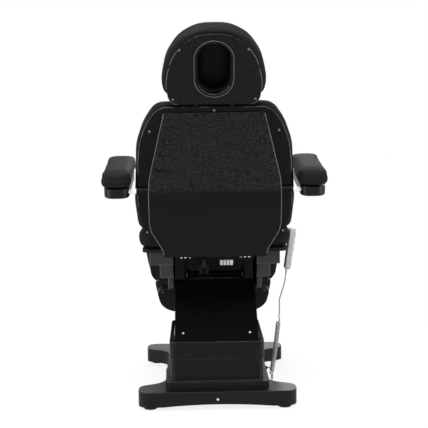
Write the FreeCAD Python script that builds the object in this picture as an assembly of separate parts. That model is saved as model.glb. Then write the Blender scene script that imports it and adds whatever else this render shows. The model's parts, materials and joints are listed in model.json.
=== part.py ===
"""Electric treatment chair: base, parallelogram lift, seat, back, headrest, armrests, leg rest and handset.

Millimetres. +Z is up, +Y is the way the sitter faces and +X is the sitter's right.
The rest pose is seated: back upright, leg rest hanging, lift part-way up.
"""
import math
import os

import FreeCAD
import Part

V = FreeCAD.Vector
X_AXIS, Y_AXIS, Z_AXIS = V(1, 0, 0), V(0, 1, 0), V(0, 0, 1)

# Shared
ORIGIN_Y = 17.64            # base centre to the middle of the overall length
GAP = 0.3                   # clearance round soft solids
RUN = 0.05                  # radial running clearance
OVERRUN = 10.0              # how far a cut passes the face it opens
WALL = 4.0                  # moulded covers
SCREW_RADIUS, SCREW_HEAD = 4.5, 2.5

# Base
BASE_HALF_X, BASE_HALF_Y = 300.0, 375.0
LEG_WIDTH, LEG_CORNER = 95.0, 40.0
WAIST_SHIFT, WAIST_CORNER = 45.0, 80.0
BASE_BOTTOM, BASE_TOP, BASE_EDGE = 15.0, 72.0, 3.0
ARCH_RISE, ARCH_RADIUS = 9.0, 2400.0
FLOOR_TUBE, FLOOR_PLATE = 36.0, 6.0
FOOT_INSET_X, FOOT_INSET_Y, FOOT_RADIUS, FOOT_HEIGHT, STUD_RADIUS = 45.0, 47.0, 25.0, 18.0, 5.0
FOOT_X, FOOT_Y = BASE_HALF_X - FOOT_INSET_X, BASE_HALF_Y - FOOT_INSET_Y

# Skirt over the lower pivots
SKIRT_INSET, SKIRT_LENGTH, SKIRT_SIDE, SKIRT_CORNER = 45.0, 390.0, 14.0, 24.0
SKIRT_FLANGE, FLANGE_TOP, SKIRT_GROOVE, SKIRT_TOP = 17.0, 103.0, 187.0, 252.0
SKIRT_STEP, SLOT_HALF, SKIRT_BACK_WALL, WAIST_LEDGE = 3.0, 166.0, 6.0, 3.0
SKIRT_HALF = SLOT_HALF + SKIRT_SIDE
SKIRT_REAR = SKIRT_INSET - BASE_HALF_Y
SKIRT_FRONT = SKIRT_REAR + SKIRT_LENGTH
WAIST_HALF = SKIRT_HALF + SKIRT_FLANGE + WAIST_LEDGE

# Lift
LIFT_ANGLE, ARM_LENGTH = 42.0, 380.0
PIVOT_INSET, PIVOT_Z = 75.0, 195.0
PIVOT_Y = SKIRT_REAR + PIVOT_INSET
LOWER_SHIFT_Y, LOWER_SHIFT_Z = 50.0, -56.0
LINK, LINK_GAP, LOWER_GAP, SLOT_RAIL = 8.0, 4.0, 10.0, 42.0
RAIL_IN = SLOT_HALF - SLOT_RAIL
BRACKET_IN = RAIL_IN - LINK
UPPER_IN = BRACKET_IN - LINK_GAP - LINK
LOWER_IN = UPPER_IN - LOWER_GAP - LINK
FLOOR_RAIL_X = BRACKET_IN + LINK / 2
UPPER_RADIUS, LOWER_RADIUS, PIVOT_PIN, CROSS_TUBE = 24.0, 20.0, 9.0, 15.0
COVER_GAP, COVER_RISE, COVER_LENGTH, COVER_FLANGE = 6.0, 67.0, 300.0, 40.0
COVER_SCREW_SIDE, COVER_SCREW_END = 32.0, 38.0
COVER_HALF = SLOT_HALF - COVER_GAP
COVER_SCREW_X = COVER_HALF - COVER_SCREW_SIDE
LIFT_LEVER, LIFT_LEVER_ANGLE, LIFT_ROD_Z = 70.0, -2.5, 127.5
STAY = 10.0                 # half-width of the stays that carry the arm's cover
COVER_STAY_SHARES = (0.15, 0.7)

# Actuators
LEVER_RADIUS, LEVER_HALF, YOKE_PIN, YOKE_HALF, YOKE_SLOT = 9.0, 7.0, 5.0, 18.0, 14.0
YOKE_BACK, YOKE_ROOM, YOKE_FRONT, YOKE_PLAY = 12.0, 20.0, 28.0, 1.0
ROD_RADIUS, LIFT_ROD_LENGTH, SEAT_ROD_LENGTH = 9.0, 170.0, 120.0
MOTOR_RADIUS, MOTOR_END, MOTOR_FOOT = 20.0, 12.0, 15.0
LIFT_MOTOR_REACH, LIFT_MOTOR_LENGTH = 105.0, 190.0
LIFT_MOTOR_START = PIVOT_Y + LIFT_MOTOR_REACH
LIFT_MOTOR_END = LIFT_MOTOR_START + LIFT_MOTOR_LENGTH
BACK_MOTOR_START, BACK_MOTOR_END, BACK_MOTOR_X = -125.0, 20.0, -45.0
LEG_MOTOR_START, LEG_MOTOR_END, LEG_MOTOR_X = 120.0, -30.0, 45.0
BACK_LEVER, BACK_LEVER_ANGLE, BACK_ROD_Z = 60.0, -34.0, 520.0
LEG_LEVER, LEG_LEVER_ANGLE, LEG_ROD_Z = 55.0, -30.0, 524.0
CONTROL_X, CONTROL_Y, CONTROL_Z, CONTROL_INSET, CONTROL_AT_X = 70.0, 70.0, 60.0, 64.0, -95.0
CONTROL_AT_Y = SKIRT_FRONT - CONTROL_INSET
INLET_Y, INLET_Z, INLET_DEPTH, INLET_AT_Z = 48.0, 28.0, 6.0, 42.0

# Seat
BACK_PIVOT_Y, LEG_PIVOT_Y, HINGE_Z = -228.0, 258.0, 575.0
RAIL_WIDTH, RAIL_DEPTH = 26.0, 30.0
FRAME_REAR, FRAME_FRONT = -205.0, 234.0
PLATE_IN, PLATE_WIDTH, LUG_IN, LUG = 80.0, 20.0, 102.0, 12.0
HINGE_PIN, HINGE_TUBE, HINGE_EYE, LEG_EYE = 8.0, 12.0, 14.0, 12.0
BRACKET_RADIUS = 22.0
LEVER_NOTCH = 16.0          # room in the cross rails for the levers
SEAT_HALF, SEAT_REAR, SEAT_FRONT, SEAT_THICK, SEAT_CORNER = 298.0, -198.0, 252.0, 100.0, 60.0
BOARD, BOARD_HALF, BOARD_REAR, BOARD_FRONT, BOARD_CORNER = 13.0, 284.0, -195.0, 234.0, 40.0
TIER_INSET, TIER_WIDTHS, TIER_BOTTOMS = 26.0, (53.0, 21.0), (516.0, 462.0, 417.0)
TIER_HALVES = [BOARD_HALF - TIER_INSET] + [SLOT_HALF + width for width in TIER_WIDTHS]
TIER_REAR, TIER_FRONT, TIER_WALL, TIER_STEP = -130.0, 170.0, 3.0, 12.0
PLUG_X, PLUG_WIDTH, PLUG_PITCH, PLUG_HEIGHT, PLUG_COUNT = 68.0, 10.0, 13.0, 20.0, 4

# Back, in its own upright frame with the hinge at the origin
BACK_LEAN = 13.0
BACK_BOTTOM, BACK_WAIST, BACK_SIDE, BACK_SHOULDER, BACK_TOP = 98.0, 215.0, 440.0, 525.0, 590.0
BACK_HALF_LOW, BACK_HALF_WAIST, BACK_HALF_SIDE = 290.0, 303.0, 291.0
BACK_HALF_SHOULDER, BACK_HALF_TOP = 260.0, 216.0
BACK_CORNER_LOW, BACK_CORNER_SIDE, BACK_CORNER_TOP = 30.0, 200.0, 60.0
BACK_REAR, BACK_THICK = -15.0, 100.0
RIM_INSET = 14.0            # shell flange inside the cushion's edge
PANEL_TOP, PANEL_BEND, PANEL_CREASE, PANEL_BOTTOM = 560.0, 262.0, 205.0, -2.0
PANEL_DEPTH_TOP, PANEL_DEPTH_BEND, PANEL_DEPTH_CREASE, PANEL_DEPTH_LOW = 12.0, 45.0, 53.0, 18.0
PANEL_HALF_TOP, PANEL_HALF_WIDE, PANEL_HALF_LOW = 182.0, 246.0, 196.0
PANEL_WIDE_HIGH, PANEL_WIDE_LOW, PANEL_NARROW = 300.0, 120.0, 24.0
PANEL_ROUND, PANEL_CURVE = 3.0, 60.0
BACK_SCREWS = ((0.0, 566.0), (237.0, 490.0), (258.0, 98.0))
FLANGE_FOOT, FLANGE_FOOT_HALF, FLANGE_FOOT_CORNER = 84.0, 264.0, 16.0
UPRIGHT_X, UPRIGHT_WIDTH, FRAME_DEPTH, FLAT_BAR, GOOSE_BEND = 165.0, 24.0, 22.0, 8.0, 52.0
UPRIGHT_LOW, UPRIGHT_HIGH = 100.0, 530.0
ARM_AXIS_Y, ARM_AXIS_Z = -28.0, 264.0
BUSH_RADIUS, BUSH_IN, BUSH_OUT = 12.5, 232.0, 292.0

# Armrests
ARM_TUBE, ARM_RISE, ARM_X = 9.0, 9.0, 365.0
PAD_HALF, PAD_THICK, PAD_REAR, PAD_FRONT, PAD_CORNER = 57.0, 65.0, -45.0, 330.0, 44.0
TRAY_HALF, TRAY_BOTTOM, TRAY_TOP, TRAY_REAR, TRAY_FRONT, TRAY_CORNER = 47.0, -22.0, 15.0, -32.0, 316.0, 36.0
TRAY_EDGE = 8.0

# Headrest, in its own frame with the tilt hinge at the origin
POST_X, POST_RADIUS, POST_BOTTOM, POST_CAP = 65.0, 8.0, 440.0, 6.5
HEAD_PIVOT_Y, HEAD_PIVOT_Z, HEAD_LEAN = -8.0, 603.0, 25.0
SOCKET_BOTTOM, SOCKET_TOP, SOCKET_RADIUS = 470.0, 545.0, 10.5
TILT_BAR, TILT_EYE, TILT_EYE_LENGTH = 5.0, 8.0, 30.0
HEAD_REAR, HEAD_THICK = -28.0, 112.0
HEAD_LOW, HEAD_WIDE, HEAD_SIDE, HEAD_SHOULDER, HEAD_TOP = 10.0, 76.0, 172.0, 240.0, 277.0
HEAD_HALF_LOW, HEAD_HALF_WIDE, HEAD_HALF_SIDE = 181.0, 191.0, 170.0
HEAD_HALF_SHOULDER, HEAD_HALF_TOP = 126.0, 58.0
HEAD_CORNER_LOW, HEAD_CORNER_SIDE, HEAD_CORNER_TOP = 40.0, 140.0, 120.0
HEAD_RIM, HEAD_SHELL = 18.0, 5.0
HEAD_LIP = 15.0             # shell below the cushion
HOLE_HALF_X, HOLE_HALF_Z, HOLE_Z, HOLE_RIM = 62.0, 97.0, 130.0, 9.0
PLUG_REAR, PLUG_PROUD = 30.0, 76.0
BRACKET_HALF, BRACKET_HIGH, BRACKET = 30.0, 24.0, 3.5
HEAD_SCREWS = ((121.0, 204.0), (148.0, 17.0))

# Leg rest and footrest, in a level frame with the hinge at the origin
LEG_HANG = 60.0
LEG_HALF, LEG_HALF_END, LEG_START, LEG_END, LEG_THICK = 306.0, 284.0, 6.0, 272.0, 95.0
FOOT_HALF, FOOT_HALF_END, FOOT_START, FOOT_END, FOOT_THICK = 270.0, 246.0, 276.0, 435.0, 80.0
LEG_CORNERS = (28.0, 84.0)
PAD_LOW, LEG_SHELL_LOW, LEG_SHELL_START, SHELL_INSET = 15.0, -14.0, 30.0, 11.0
LEG_PLATE, LEG_PLATE_START = 5.0, 44.0
GUIDE_X, GUIDE_RADIUS, SLIDE_RADIUS, SLIDE_HOLE = 140.0, 9.0, 6.0, 8.0
GUIDE_START, GUIDE_END, SLIDE_START, SLIDE_END = 70.0, 254.0, 62.0, 400.0
FOOT_PLATE_START, FOOT_PLATE_END = 294.0, 410.0

# Handset, in an upright frame with its lower inner edge at the origin
HANDSET_LENGTH, HANDSET_WIDTH, HANDSET_THICK, HANDSET_SPLIT = 172.0, 58.0, 25.0, 11.0
HANDSET_X, HANDSET_Y, HANDSET_Z, HANDSET_TILT = 288.0, 27.0, 470.0, 8.3
HANDSET_CORNER, HANDSET_EDGE, CASE_WALL = 14.0, 5.0, 2.5
BUTTON_Y, BUTTON_Z, BUTTON_CORNER, BUTTON_PROUD, BUTTON_DEEP, BUTTON_GAP = 14.0, 15.0, 4.0, 2.0, 6.0, 0.4
BUTTON_ROWS, BUTTON_PITCH_Y, BUTTON_PITCH_Z, BUTTON_FIRST = 3, 22.0, 26.0, 86.0
RELIEF_LENGTH, RELIEF_WIDE, RELIEF_NARROW = 20.0, 5.0, 3.6
HOOK, HOOK_START, HOOK_AT, HOOK_TOP, HOOK_HALF = 2.5, 262.0, 299.0, 604.0, 9.0
CLIP_LOW, CLIP_HIGH, CLIP_REACH = 584.0, 600.0, 9.0

# Handset cord
CORD_RADIUS = 2.5
CURL_RADIUS, CURL_PITCH, CURL_TURNS, CURL_LEAN = 7.7, 6.2, 28, 6.5
CURL_OUT, CURL_AT_Z = 62.0, 262.0
CURL_TOP = V(WAIST_HALF + CURL_OUT, 0.0, CURL_AT_Z)
TAIL_RADIUS = 16.0
GLAND_LENGTH, GLAND_RADIUS = 14.0, 7.0
LEAD_RUN = 30.0             # straight run at each end of the lead
LEAD_ROUTE = ((3.0, 6.0, 83.0), (21.0, 22.0, 123.0))    # bends of the lead, from the top of the curl

# Depth share and outline share of each section of a cushion, from its back to its crown
CUSHION_SHARES = ((0.0, 0.95), (0.14, 0.985), (0.42, 1.0), (0.66, 0.988), (0.85, 0.945), (0.95, 0.88),
                  (1.0, 0.76))
# Largest share of a run that a bend of the cord may take
BEND_SHARE = 0.45

PARTS = {}


def box(x0, x1, y0, y1, z0, z1):
    """A block between two corners, given in any order."""
    low = V(min(x0, x1), min(y0, y1), min(z0, z1))
    return Part.makeBox(abs(x1 - x0), abs(y1 - y0), abs(z1 - z0), low)


def rod(start, direction, radius, length):
    """A cylinder from a point, along a direction."""
    return Part.makeCylinder(radius, length, start, direction)


def cross_rod(y, z, radius, x0, x1):
    """A cylinder from left to right."""
    return rod(V(min(x0, x1), y, z), X_AXIS, radius, abs(x1 - x0))


def joined(pieces):
    """One solid from touching or overlapping ones."""
    return pieces[0].multiFuse(pieces[1:]).removeSplitter()


def both_sides(make):
    """What make(side) gives for the left, -1, and the right, +1."""
    return [make(side) for side in (-1, 1)]


def mirrored(right):
    """A closed outline from its right half, listed from the bottom up."""
    return list(right) + [(-u, v, radius) for u, v, radius in reversed(right)]


def rectangle(u0, u1, v0, v1, radius):
    """The corners of a rounded rectangle."""
    return [(u0, v0, radius), (u1, v0, radius), (u1, v1, radius), (u0, v1, radius)]


def outline(corners, place):
    """A closed wire of lines and arcs through (u, v, radius) corners; place turns (u, v) into a point."""
    arcs = []
    for i, (u, v, radius) in enumerate(corners):
        here = V(u, v, 0)
        before = (V(*corners[i - 1][:2], 0) - here).normalize()
        after = (V(*corners[(i + 1) % len(corners)][:2], 0) - here).normalize()
        half = before.getAngle(after) / 2
        reach = radius / math.tan(half)
        middle = here + (before + after).normalize() * (radius / math.sin(half) - radius)
        arcs.append([place(p.x, p.y) for p in (here + before * reach, middle, here + after * reach)])
    edges = []
    for arc, following in zip(arcs, arcs[1:] + arcs[:1]):
        edges.append(Part.Arc(*arc).toShape())
        edges.append(Part.makeLine(arc[2], following[0]))
    return Part.Wire(edges)


def upright_block(corners, z0, z1):
    """A block with an (x, y) outline."""
    return Part.Face(outline(corners, lambda u, v: V(u, v, z0))).extrude(V(0, 0, z1 - z0))


def facing_block(corners, y0, y1):
    """A block with an (x, z) outline."""
    return Part.Face(outline(corners, lambda u, v: V(u, y0, v))).extrude(V(0, y1 - y0, 0))


def side_block(corners, x0, x1):
    """A block with a (y, z) outline."""
    return Part.Face(outline(corners, lambda u, v: V(x0, u, v))).extrude(V(x1 - x0, 0, 0))


def side_plate(points, x0, x1):
    """A flat plate with a sharp (y, z) outline."""
    ring = [V(x0, y, z) for y, z in points + points[:1]]
    return Part.Face(Part.makePolygon(ring)).extrude(V(x1 - x0, 0, 0))


def link(start, end, radius, x0, x1):
    """A round-ended plate between two (y, z) points."""
    run = V(0, end[0] - start[0], end[1] - start[1]).normalize()
    off = X_AXIS.cross(run) * radius
    ring = [(start[0] + off.y, start[1] + off.z), (end[0] + off.y, end[1] + off.z),
            (end[0] - off.y, end[1] - off.z), (start[0] - off.y, start[1] - off.z)]
    ends = [cross_rod(y, z, radius, x0, x1) for y, z in (start, end)]
    return joined([side_plate(ring, x0, x1)] + ends)


def edges_at(solid, axis, level):
    """The edges that lie in one plane across an axis."""
    return [e for e in solid.Edges if all(abs(v.Point.dot(axis) - level) < GAP for v in e.Vertexes)]


def cushion(corners, thick, place):
    """A crowned pad with drawn-in sides; place turns (u, v, depth) into a point."""
    middle_u = sum(c[0] for c in corners) / len(corners)
    middle_v = sum(c[1] for c in corners) / len(corners)
    wires = []
    for depth_share, share in CUSHION_SHARES:
        ring = [(middle_u + (u - middle_u) * share, middle_v + (v - middle_v) * share, radius * share)
                for u, v, radius in corners]
        depth = depth_share * thick
        wires.append(outline(ring, lambda u, v, d=depth: place(u, v, d)))
    return Part.makeLoft(wires, True, True)


def placed(shape, y, z, degrees):
    """A copy moved from a hinge's own frame to the hinge, and turned; positive tips the top backwards."""
    copy = shape.copy()
    copy.translate(V(0, y, z))
    copy.rotate(V(0, y, z), X_AXIS, degrees)
    return copy


def in_back(shape):
    return placed(shape, BACK_PIVOT_Y, HINGE_Z, BACK_LEAN)


def back_point(y, z):
    """Where a point of the back's own frame lies at rest."""
    lean = math.radians(BACK_LEAN)
    return (BACK_PIVOT_Y + y * math.cos(lean) - z * math.sin(lean),
            HINGE_Z + y * math.sin(lean) + z * math.cos(lean))


def in_head(shape):
    return placed(shape, *back_point(HEAD_PIVOT_Y, HEAD_PIVOT_Z), HEAD_LEAN)


def in_leg(shape):
    return placed(shape, LEG_PIVOT_Y, HINGE_Z, -LEG_HANG)


def screws(points, direction):
    """Pan-head screws: each head stands on the surface, each shank goes in."""
    pieces = []
    for point in points:
        head = rod(V(*point), direction, SCREW_RADIUS, SCREW_HEAD)
        shank = rod(V(*point), direction * -1, SCREW_RADIUS / 2, WALL)
        pieces.append(head.fuse(shank).removeSplitter())
    return Part.makeCompound(pieces)


def bored(cover, fasteners):
    """Cuts a cover's holes with its own screws."""
    PARTS[cover] = PARTS[cover].cut(PARTS[fasteners])


def lever_tip(pivot_y, pivot_z, radius, degrees):
    """The pin of a lever that hangs at an angle from straight down."""
    angle = math.radians(degrees)
    return (pivot_y + radius * math.sin(angle), pivot_z - radius * math.cos(angle))


def lever(pivot, tip, x):
    """A lever plate with its yoke pin."""
    plate = link(pivot, tip, LEVER_RADIUS, x - LEVER_HALF, x + LEVER_HALF)
    return joined([plate, cross_rod(*tip, YOKE_PIN, x - YOKE_HALF, x + YOKE_HALF)])


def yoke_rod(x, pin_y, z, way, length):
    """An actuator rod whose fork holds a lever's pin in an upright slot; way is the rod's side of the pin."""
    block = box(x - YOKE_HALF, x + YOKE_HALF, pin_y - way * YOKE_BACK, pin_y + way * YOKE_FRONT,
                z - YOKE_HALF, z + YOKE_HALF)
    cheek = LEVER_HALF + YOKE_PLAY
    room = box(x - cheek, x + cheek, pin_y - way * (YOKE_BACK + OVERRUN), pin_y + way * YOKE_ROOM,
               z - YOKE_HALF - OVERRUN, z + YOKE_HALF + OVERRUN)
    half = YOKE_PIN + YOKE_PLAY
    slot = box(x - YOKE_HALF - OVERRUN, x + YOKE_HALF + OVERRUN, pin_y - half, pin_y + half,
               z - YOKE_SLOT, z + YOKE_SLOT)
    shaft = rod(V(x, pin_y + way * YOKE_FRONT, z), Y_AXIS * way, ROD_RADIUS, length)
    return joined([block.cut(room).cut(slot), shaft])


def motor(x, start_y, end_y, z, foot_z):
    """A tubular actuator body with a bored nose, on a foot."""
    way = 1 if end_y > start_y else -1
    length = abs(end_y - start_y)
    body = rod(V(x, start_y, z), Y_AXIS * way, MOTOR_RADIUS, length)
    foot = box(x - MOTOR_FOOT, x + MOTOR_FOOT, start_y + way * MOTOR_END, end_y - way * MOTOR_END, z, foot_z)
    bore = rod(V(x, start_y, z), Y_AXIS * way, ROD_RADIUS + RUN, length - MOTOR_END)
    return joined([body, foot]).cut(bore)


def base():
    leg_in = BASE_HALF_Y - LEG_WIDTH
    right = [(BASE_HALF_X, -BASE_HALF_Y, LEG_CORNER), (BASE_HALF_X, -leg_in, LEG_CORNER),
             (WAIST_HALF, -leg_in + WAIST_SHIFT, WAIST_CORNER),
             (WAIST_HALF, leg_in - WAIST_SHIFT, WAIST_CORNER),
             (BASE_HALF_X, leg_in, LEG_CORNER), (BASE_HALF_X, BASE_HALF_Y, LEG_CORNER)]
    outer = upright_block(mirrored(right), BASE_BOTTOM, BASE_TOP)
    outer = outer.makeFillet(BASE_EDGE, edges_at(outer, Z_AXIS, BASE_TOP))
    face = Part.Face(outline(mirrored(right), lambda u, v: V(u, v, BASE_BOTTOM)))
    inner = face.makeOffset2D(-WALL).extrude(V(0, 0, BASE_TOP - BASE_BOTTOM - WALL))
    opening = box(-SLOT_HALF, SLOT_HALF, SKIRT_REAR + SKIRT_CORNER, SKIRT_FRONT - SKIRT_CORNER,
                  BASE_BOTTOM, BASE_TOP + OVERRUN)
    foot = V(0, -BASE_HALF_Y - OVERRUN, BASE_BOTTOM + ARCH_RISE - ARCH_RADIUS)
    arch = rod(foot, Y_AXIS, ARCH_RADIUS, 2 * (BASE_HALF_Y + OVERRUN))
    PARTS["base_cover"] = outer.cut(inner).cut(opening).cut(arch)

    plate_top = BASE_TOP - WALL
    tube_top = plate_top - FLOOR_PLATE
    tube_low = tube_top - FLOOR_TUBE
    half = FLOOR_TUBE / 2
    reach = BASE_HALF_X - LEG_CORNER / 2
    pieces = both_sides(lambda s: box(-reach, reach, s * FOOT_Y - half, s * FOOT_Y + half,
                                      tube_low, tube_top))
    pieces += both_sides(lambda s: box(s * FLOOR_RAIL_X - half, s * FLOOR_RAIL_X + half, -FOOT_Y, FOOT_Y,
                                       tube_low, tube_top))
    pieces.append(box(-FLOOR_RAIL_X - half, FLOOR_RAIL_X + half, -FOOT_Y, SKIRT_FRONT, tube_top, plate_top))
    upper, lower = (PIVOT_Y, PIVOT_Z), lower_pivot()
    for s in (-1, 1):
        x0, x1 = s * BRACKET_IN, s * (BRACKET_IN + LINK)
        plate = joined([link(upper, lower, BRACKET_RADIUS, x0, x1),
                        link(upper, (PIVOT_Y, plate_top), BRACKET_RADIUS, x0, x1),
                        link(lower, (lower[0], plate_top), BRACKET_RADIUS, x0, x1)])
        under = box(x0, x1, -BASE_HALF_Y, BASE_HALF_Y, BASE_BOTTOM, plate_top)
        for y, z in (upper, lower):
            plate = plate.cut(cross_rod(y, z, PIVOT_PIN, x0 - s * OVERRUN, x1 + s * OVERRUN))
        pieces.append(plate.cut(under))
    PARTS["base_frame"] = joined(pieces)

    feet = []
    for x, y in [(sx * FOOT_X, sy * FOOT_Y) for sx in (-1, 1) for sy in (-1, 1)]:
        pad = rod(V(x, y, 0), Z_AXIS, FOOT_RADIUS, FOOT_HEIGHT)
        stud = rod(V(x, y, FOOT_HEIGHT), Z_AXIS, STUD_RADIUS, tube_low - FOOT_HEIGHT)
        feet.append(pad.fuse(stud).removeSplitter())
    PARTS["levelling_feet"] = Part.makeCompound(feet)
    PARTS["base_screws"] = screws([(0, -BASE_HALF_Y, (BASE_BOTTOM + BASE_TOP) / 2)], Y_AXIS * -1)
    bored("base_cover", "base_screws")
    pins = []
    for y, z, inner in ((*upper, UPPER_IN), (*lower, LOWER_IN)):
        pins += both_sides(lambda s: cross_rod(y, z, PIVOT_PIN, s * inner, s * (BRACKET_IN + LINK)))
    PARTS["lift_pivot_pins"] = Part.makeCompound(pins)
    PARTS["lift_motor"] = motor(0, LIFT_MOTOR_START, LIFT_MOTOR_END, LIFT_ROD_Z, plate_top)
    PARTS["control_box"] = box(CONTROL_AT_X, CONTROL_AT_X + CONTROL_X, CONTROL_AT_Y - CONTROL_Y / 2,
                               CONTROL_AT_Y + CONTROL_Y / 2, plate_top, plate_top + CONTROL_Z)
    PARTS["power_inlet"] = box(-WAIST_HALF, -WAIST_HALF - INLET_DEPTH, -INLET_Y / 2, INLET_Y / 2,
                               INLET_AT_Z - INLET_Z / 2, INLET_AT_Z + INLET_Z / 2)


def lower_pivot():
    return (PIVOT_Y + LOWER_SHIFT_Y, PIVOT_Z + LOWER_SHIFT_Z)


def along_arm(start, distance, rise=0.0):
    """A (y, z) point along the lift arm from a pivot, and square to it."""
    angle = math.radians(LIFT_ANGLE)
    return (start[0] + distance * math.cos(angle) - rise * math.sin(angle),
            start[1] + distance * math.sin(angle) + rise * math.cos(angle))


def skirt():
    def tier(grow, z0, z1):
        ring = rectangle(-SKIRT_HALF - grow, SKIRT_HALF + grow, SKIRT_REAR - grow, SKIRT_FRONT + grow,
                         SKIRT_CORNER)
        return upright_block(ring, z0, z1)

    high = tier(0, SKIRT_GROOVE, SKIRT_TOP)
    low = tier(-SKIRT_STEP, FLANGE_TOP, SKIRT_GROOVE)
    solid = joined([tier(SKIRT_FLANGE, BASE_TOP, FLANGE_TOP), low, high])
    rear, top = SKIRT_REAR + SKIRT_BACK_WALL, SKIRT_TOP + OVERRUN
    room = box(-SLOT_HALF, SLOT_HALF, rear, SKIRT_FRONT - 2 * WALL, BASE_TOP - OVERRUN, top)
    front = box(-SLOT_HALF, SLOT_HALF, rear, SKIRT_FRONT + OVERRUN, SKIRT_GROOVE, top)
    PARTS["base_skirt"] = solid.cut(room).cut(front)


def lift():
    upper, lower = (PIVOT_Y, PIVOT_Z), lower_pivot()
    upper_end, lower_end = along_arm(upper, ARM_LENGTH), along_arm(lower, ARM_LENGTH)
    pieces = both_sides(lambda s: link(upper, upper_end, UPPER_RADIUS, s * UPPER_IN, s * (UPPER_IN + LINK)))
    tubes = [cross_rod(*end, CROSS_TUBE, -UPPER_IN, UPPER_IN) for end in (upper, upper_end)]
    tip = lever_tip(*upper, LIFT_LEVER, LIFT_LEVER_ANGLE)
    arm = joined(pieces + tubes + [lever(upper, tip, 0)])
    for end in (upper, upper_end):
        for s in (-1, 1):
            arm = arm.cut(cross_rod(*end, PIVOT_PIN + RUN, s * UPPER_IN, s * (UPPER_IN + LINK + OVERRUN)))
    stays = []
    for share in COVER_STAY_SHARES:
        foot = along_arm(upper, ARM_LENGTH * share)
        top = along_arm(upper, ARM_LENGTH * share, COVER_RISE - STAY)
        stays += both_sides(lambda s: link(foot, top, STAY, s * UPPER_IN, s * (UPPER_IN + LINK)))
    PARTS["lift_arm_upper"] = joined([arm] + stays)
    PARTS["lift_rod"] = yoke_rod(0, tip[0], LIFT_ROD_Z, 1, LIFT_ROD_LENGTH)

    arm = both_sides(lambda s: link(lower, lower_end, LOWER_RADIUS, s * LOWER_IN, s * (LOWER_IN + LINK)))
    middle = along_arm(lower, ARM_LENGTH / 2)
    arm = joined(arm + [cross_rod(*middle, CROSS_TUBE, -LOWER_IN, LOWER_IN)])
    for end in (lower, lower_end):
        arm = arm.cut(cross_rod(*end, PIVOT_PIN + RUN, -BRACKET_IN, BRACKET_IN))
    PARTS["lift_arm_lower"] = arm

    def strip(x0, x1, rise0, rise1):
        ring = [along_arm(upper, 0, rise0), along_arm(upper, COVER_LENGTH, rise0),
                along_arm(upper, COVER_LENGTH, rise1), along_arm(upper, 0, rise1)]
        return side_plate(ring, x0, x1)

    top = COVER_RISE + WALL
    flange_low = COVER_RISE - COVER_FLANGE
    flanges = both_sides(lambda s: strip(s * (COVER_HALF - WALL), s * COVER_HALF, flange_low, top))
    PARTS["arm_cover"] = joined([strip(-COVER_HALF, COVER_HALF, COVER_RISE, top)] + flanges)
    angle = math.radians(LIFT_ANGLE)
    outward = V(0, -math.sin(angle), math.cos(angle))
    places = [(s * COVER_SCREW_X, *along_arm(upper, distance, top))
              for distance in (COVER_SCREW_END, COVER_LENGTH - COVER_SCREW_END) for s in (-1, 1)]
    PARTS["arm_cover_screws"] = screws(places, outward)
    bored("arm_cover", "arm_cover_screws")


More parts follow.
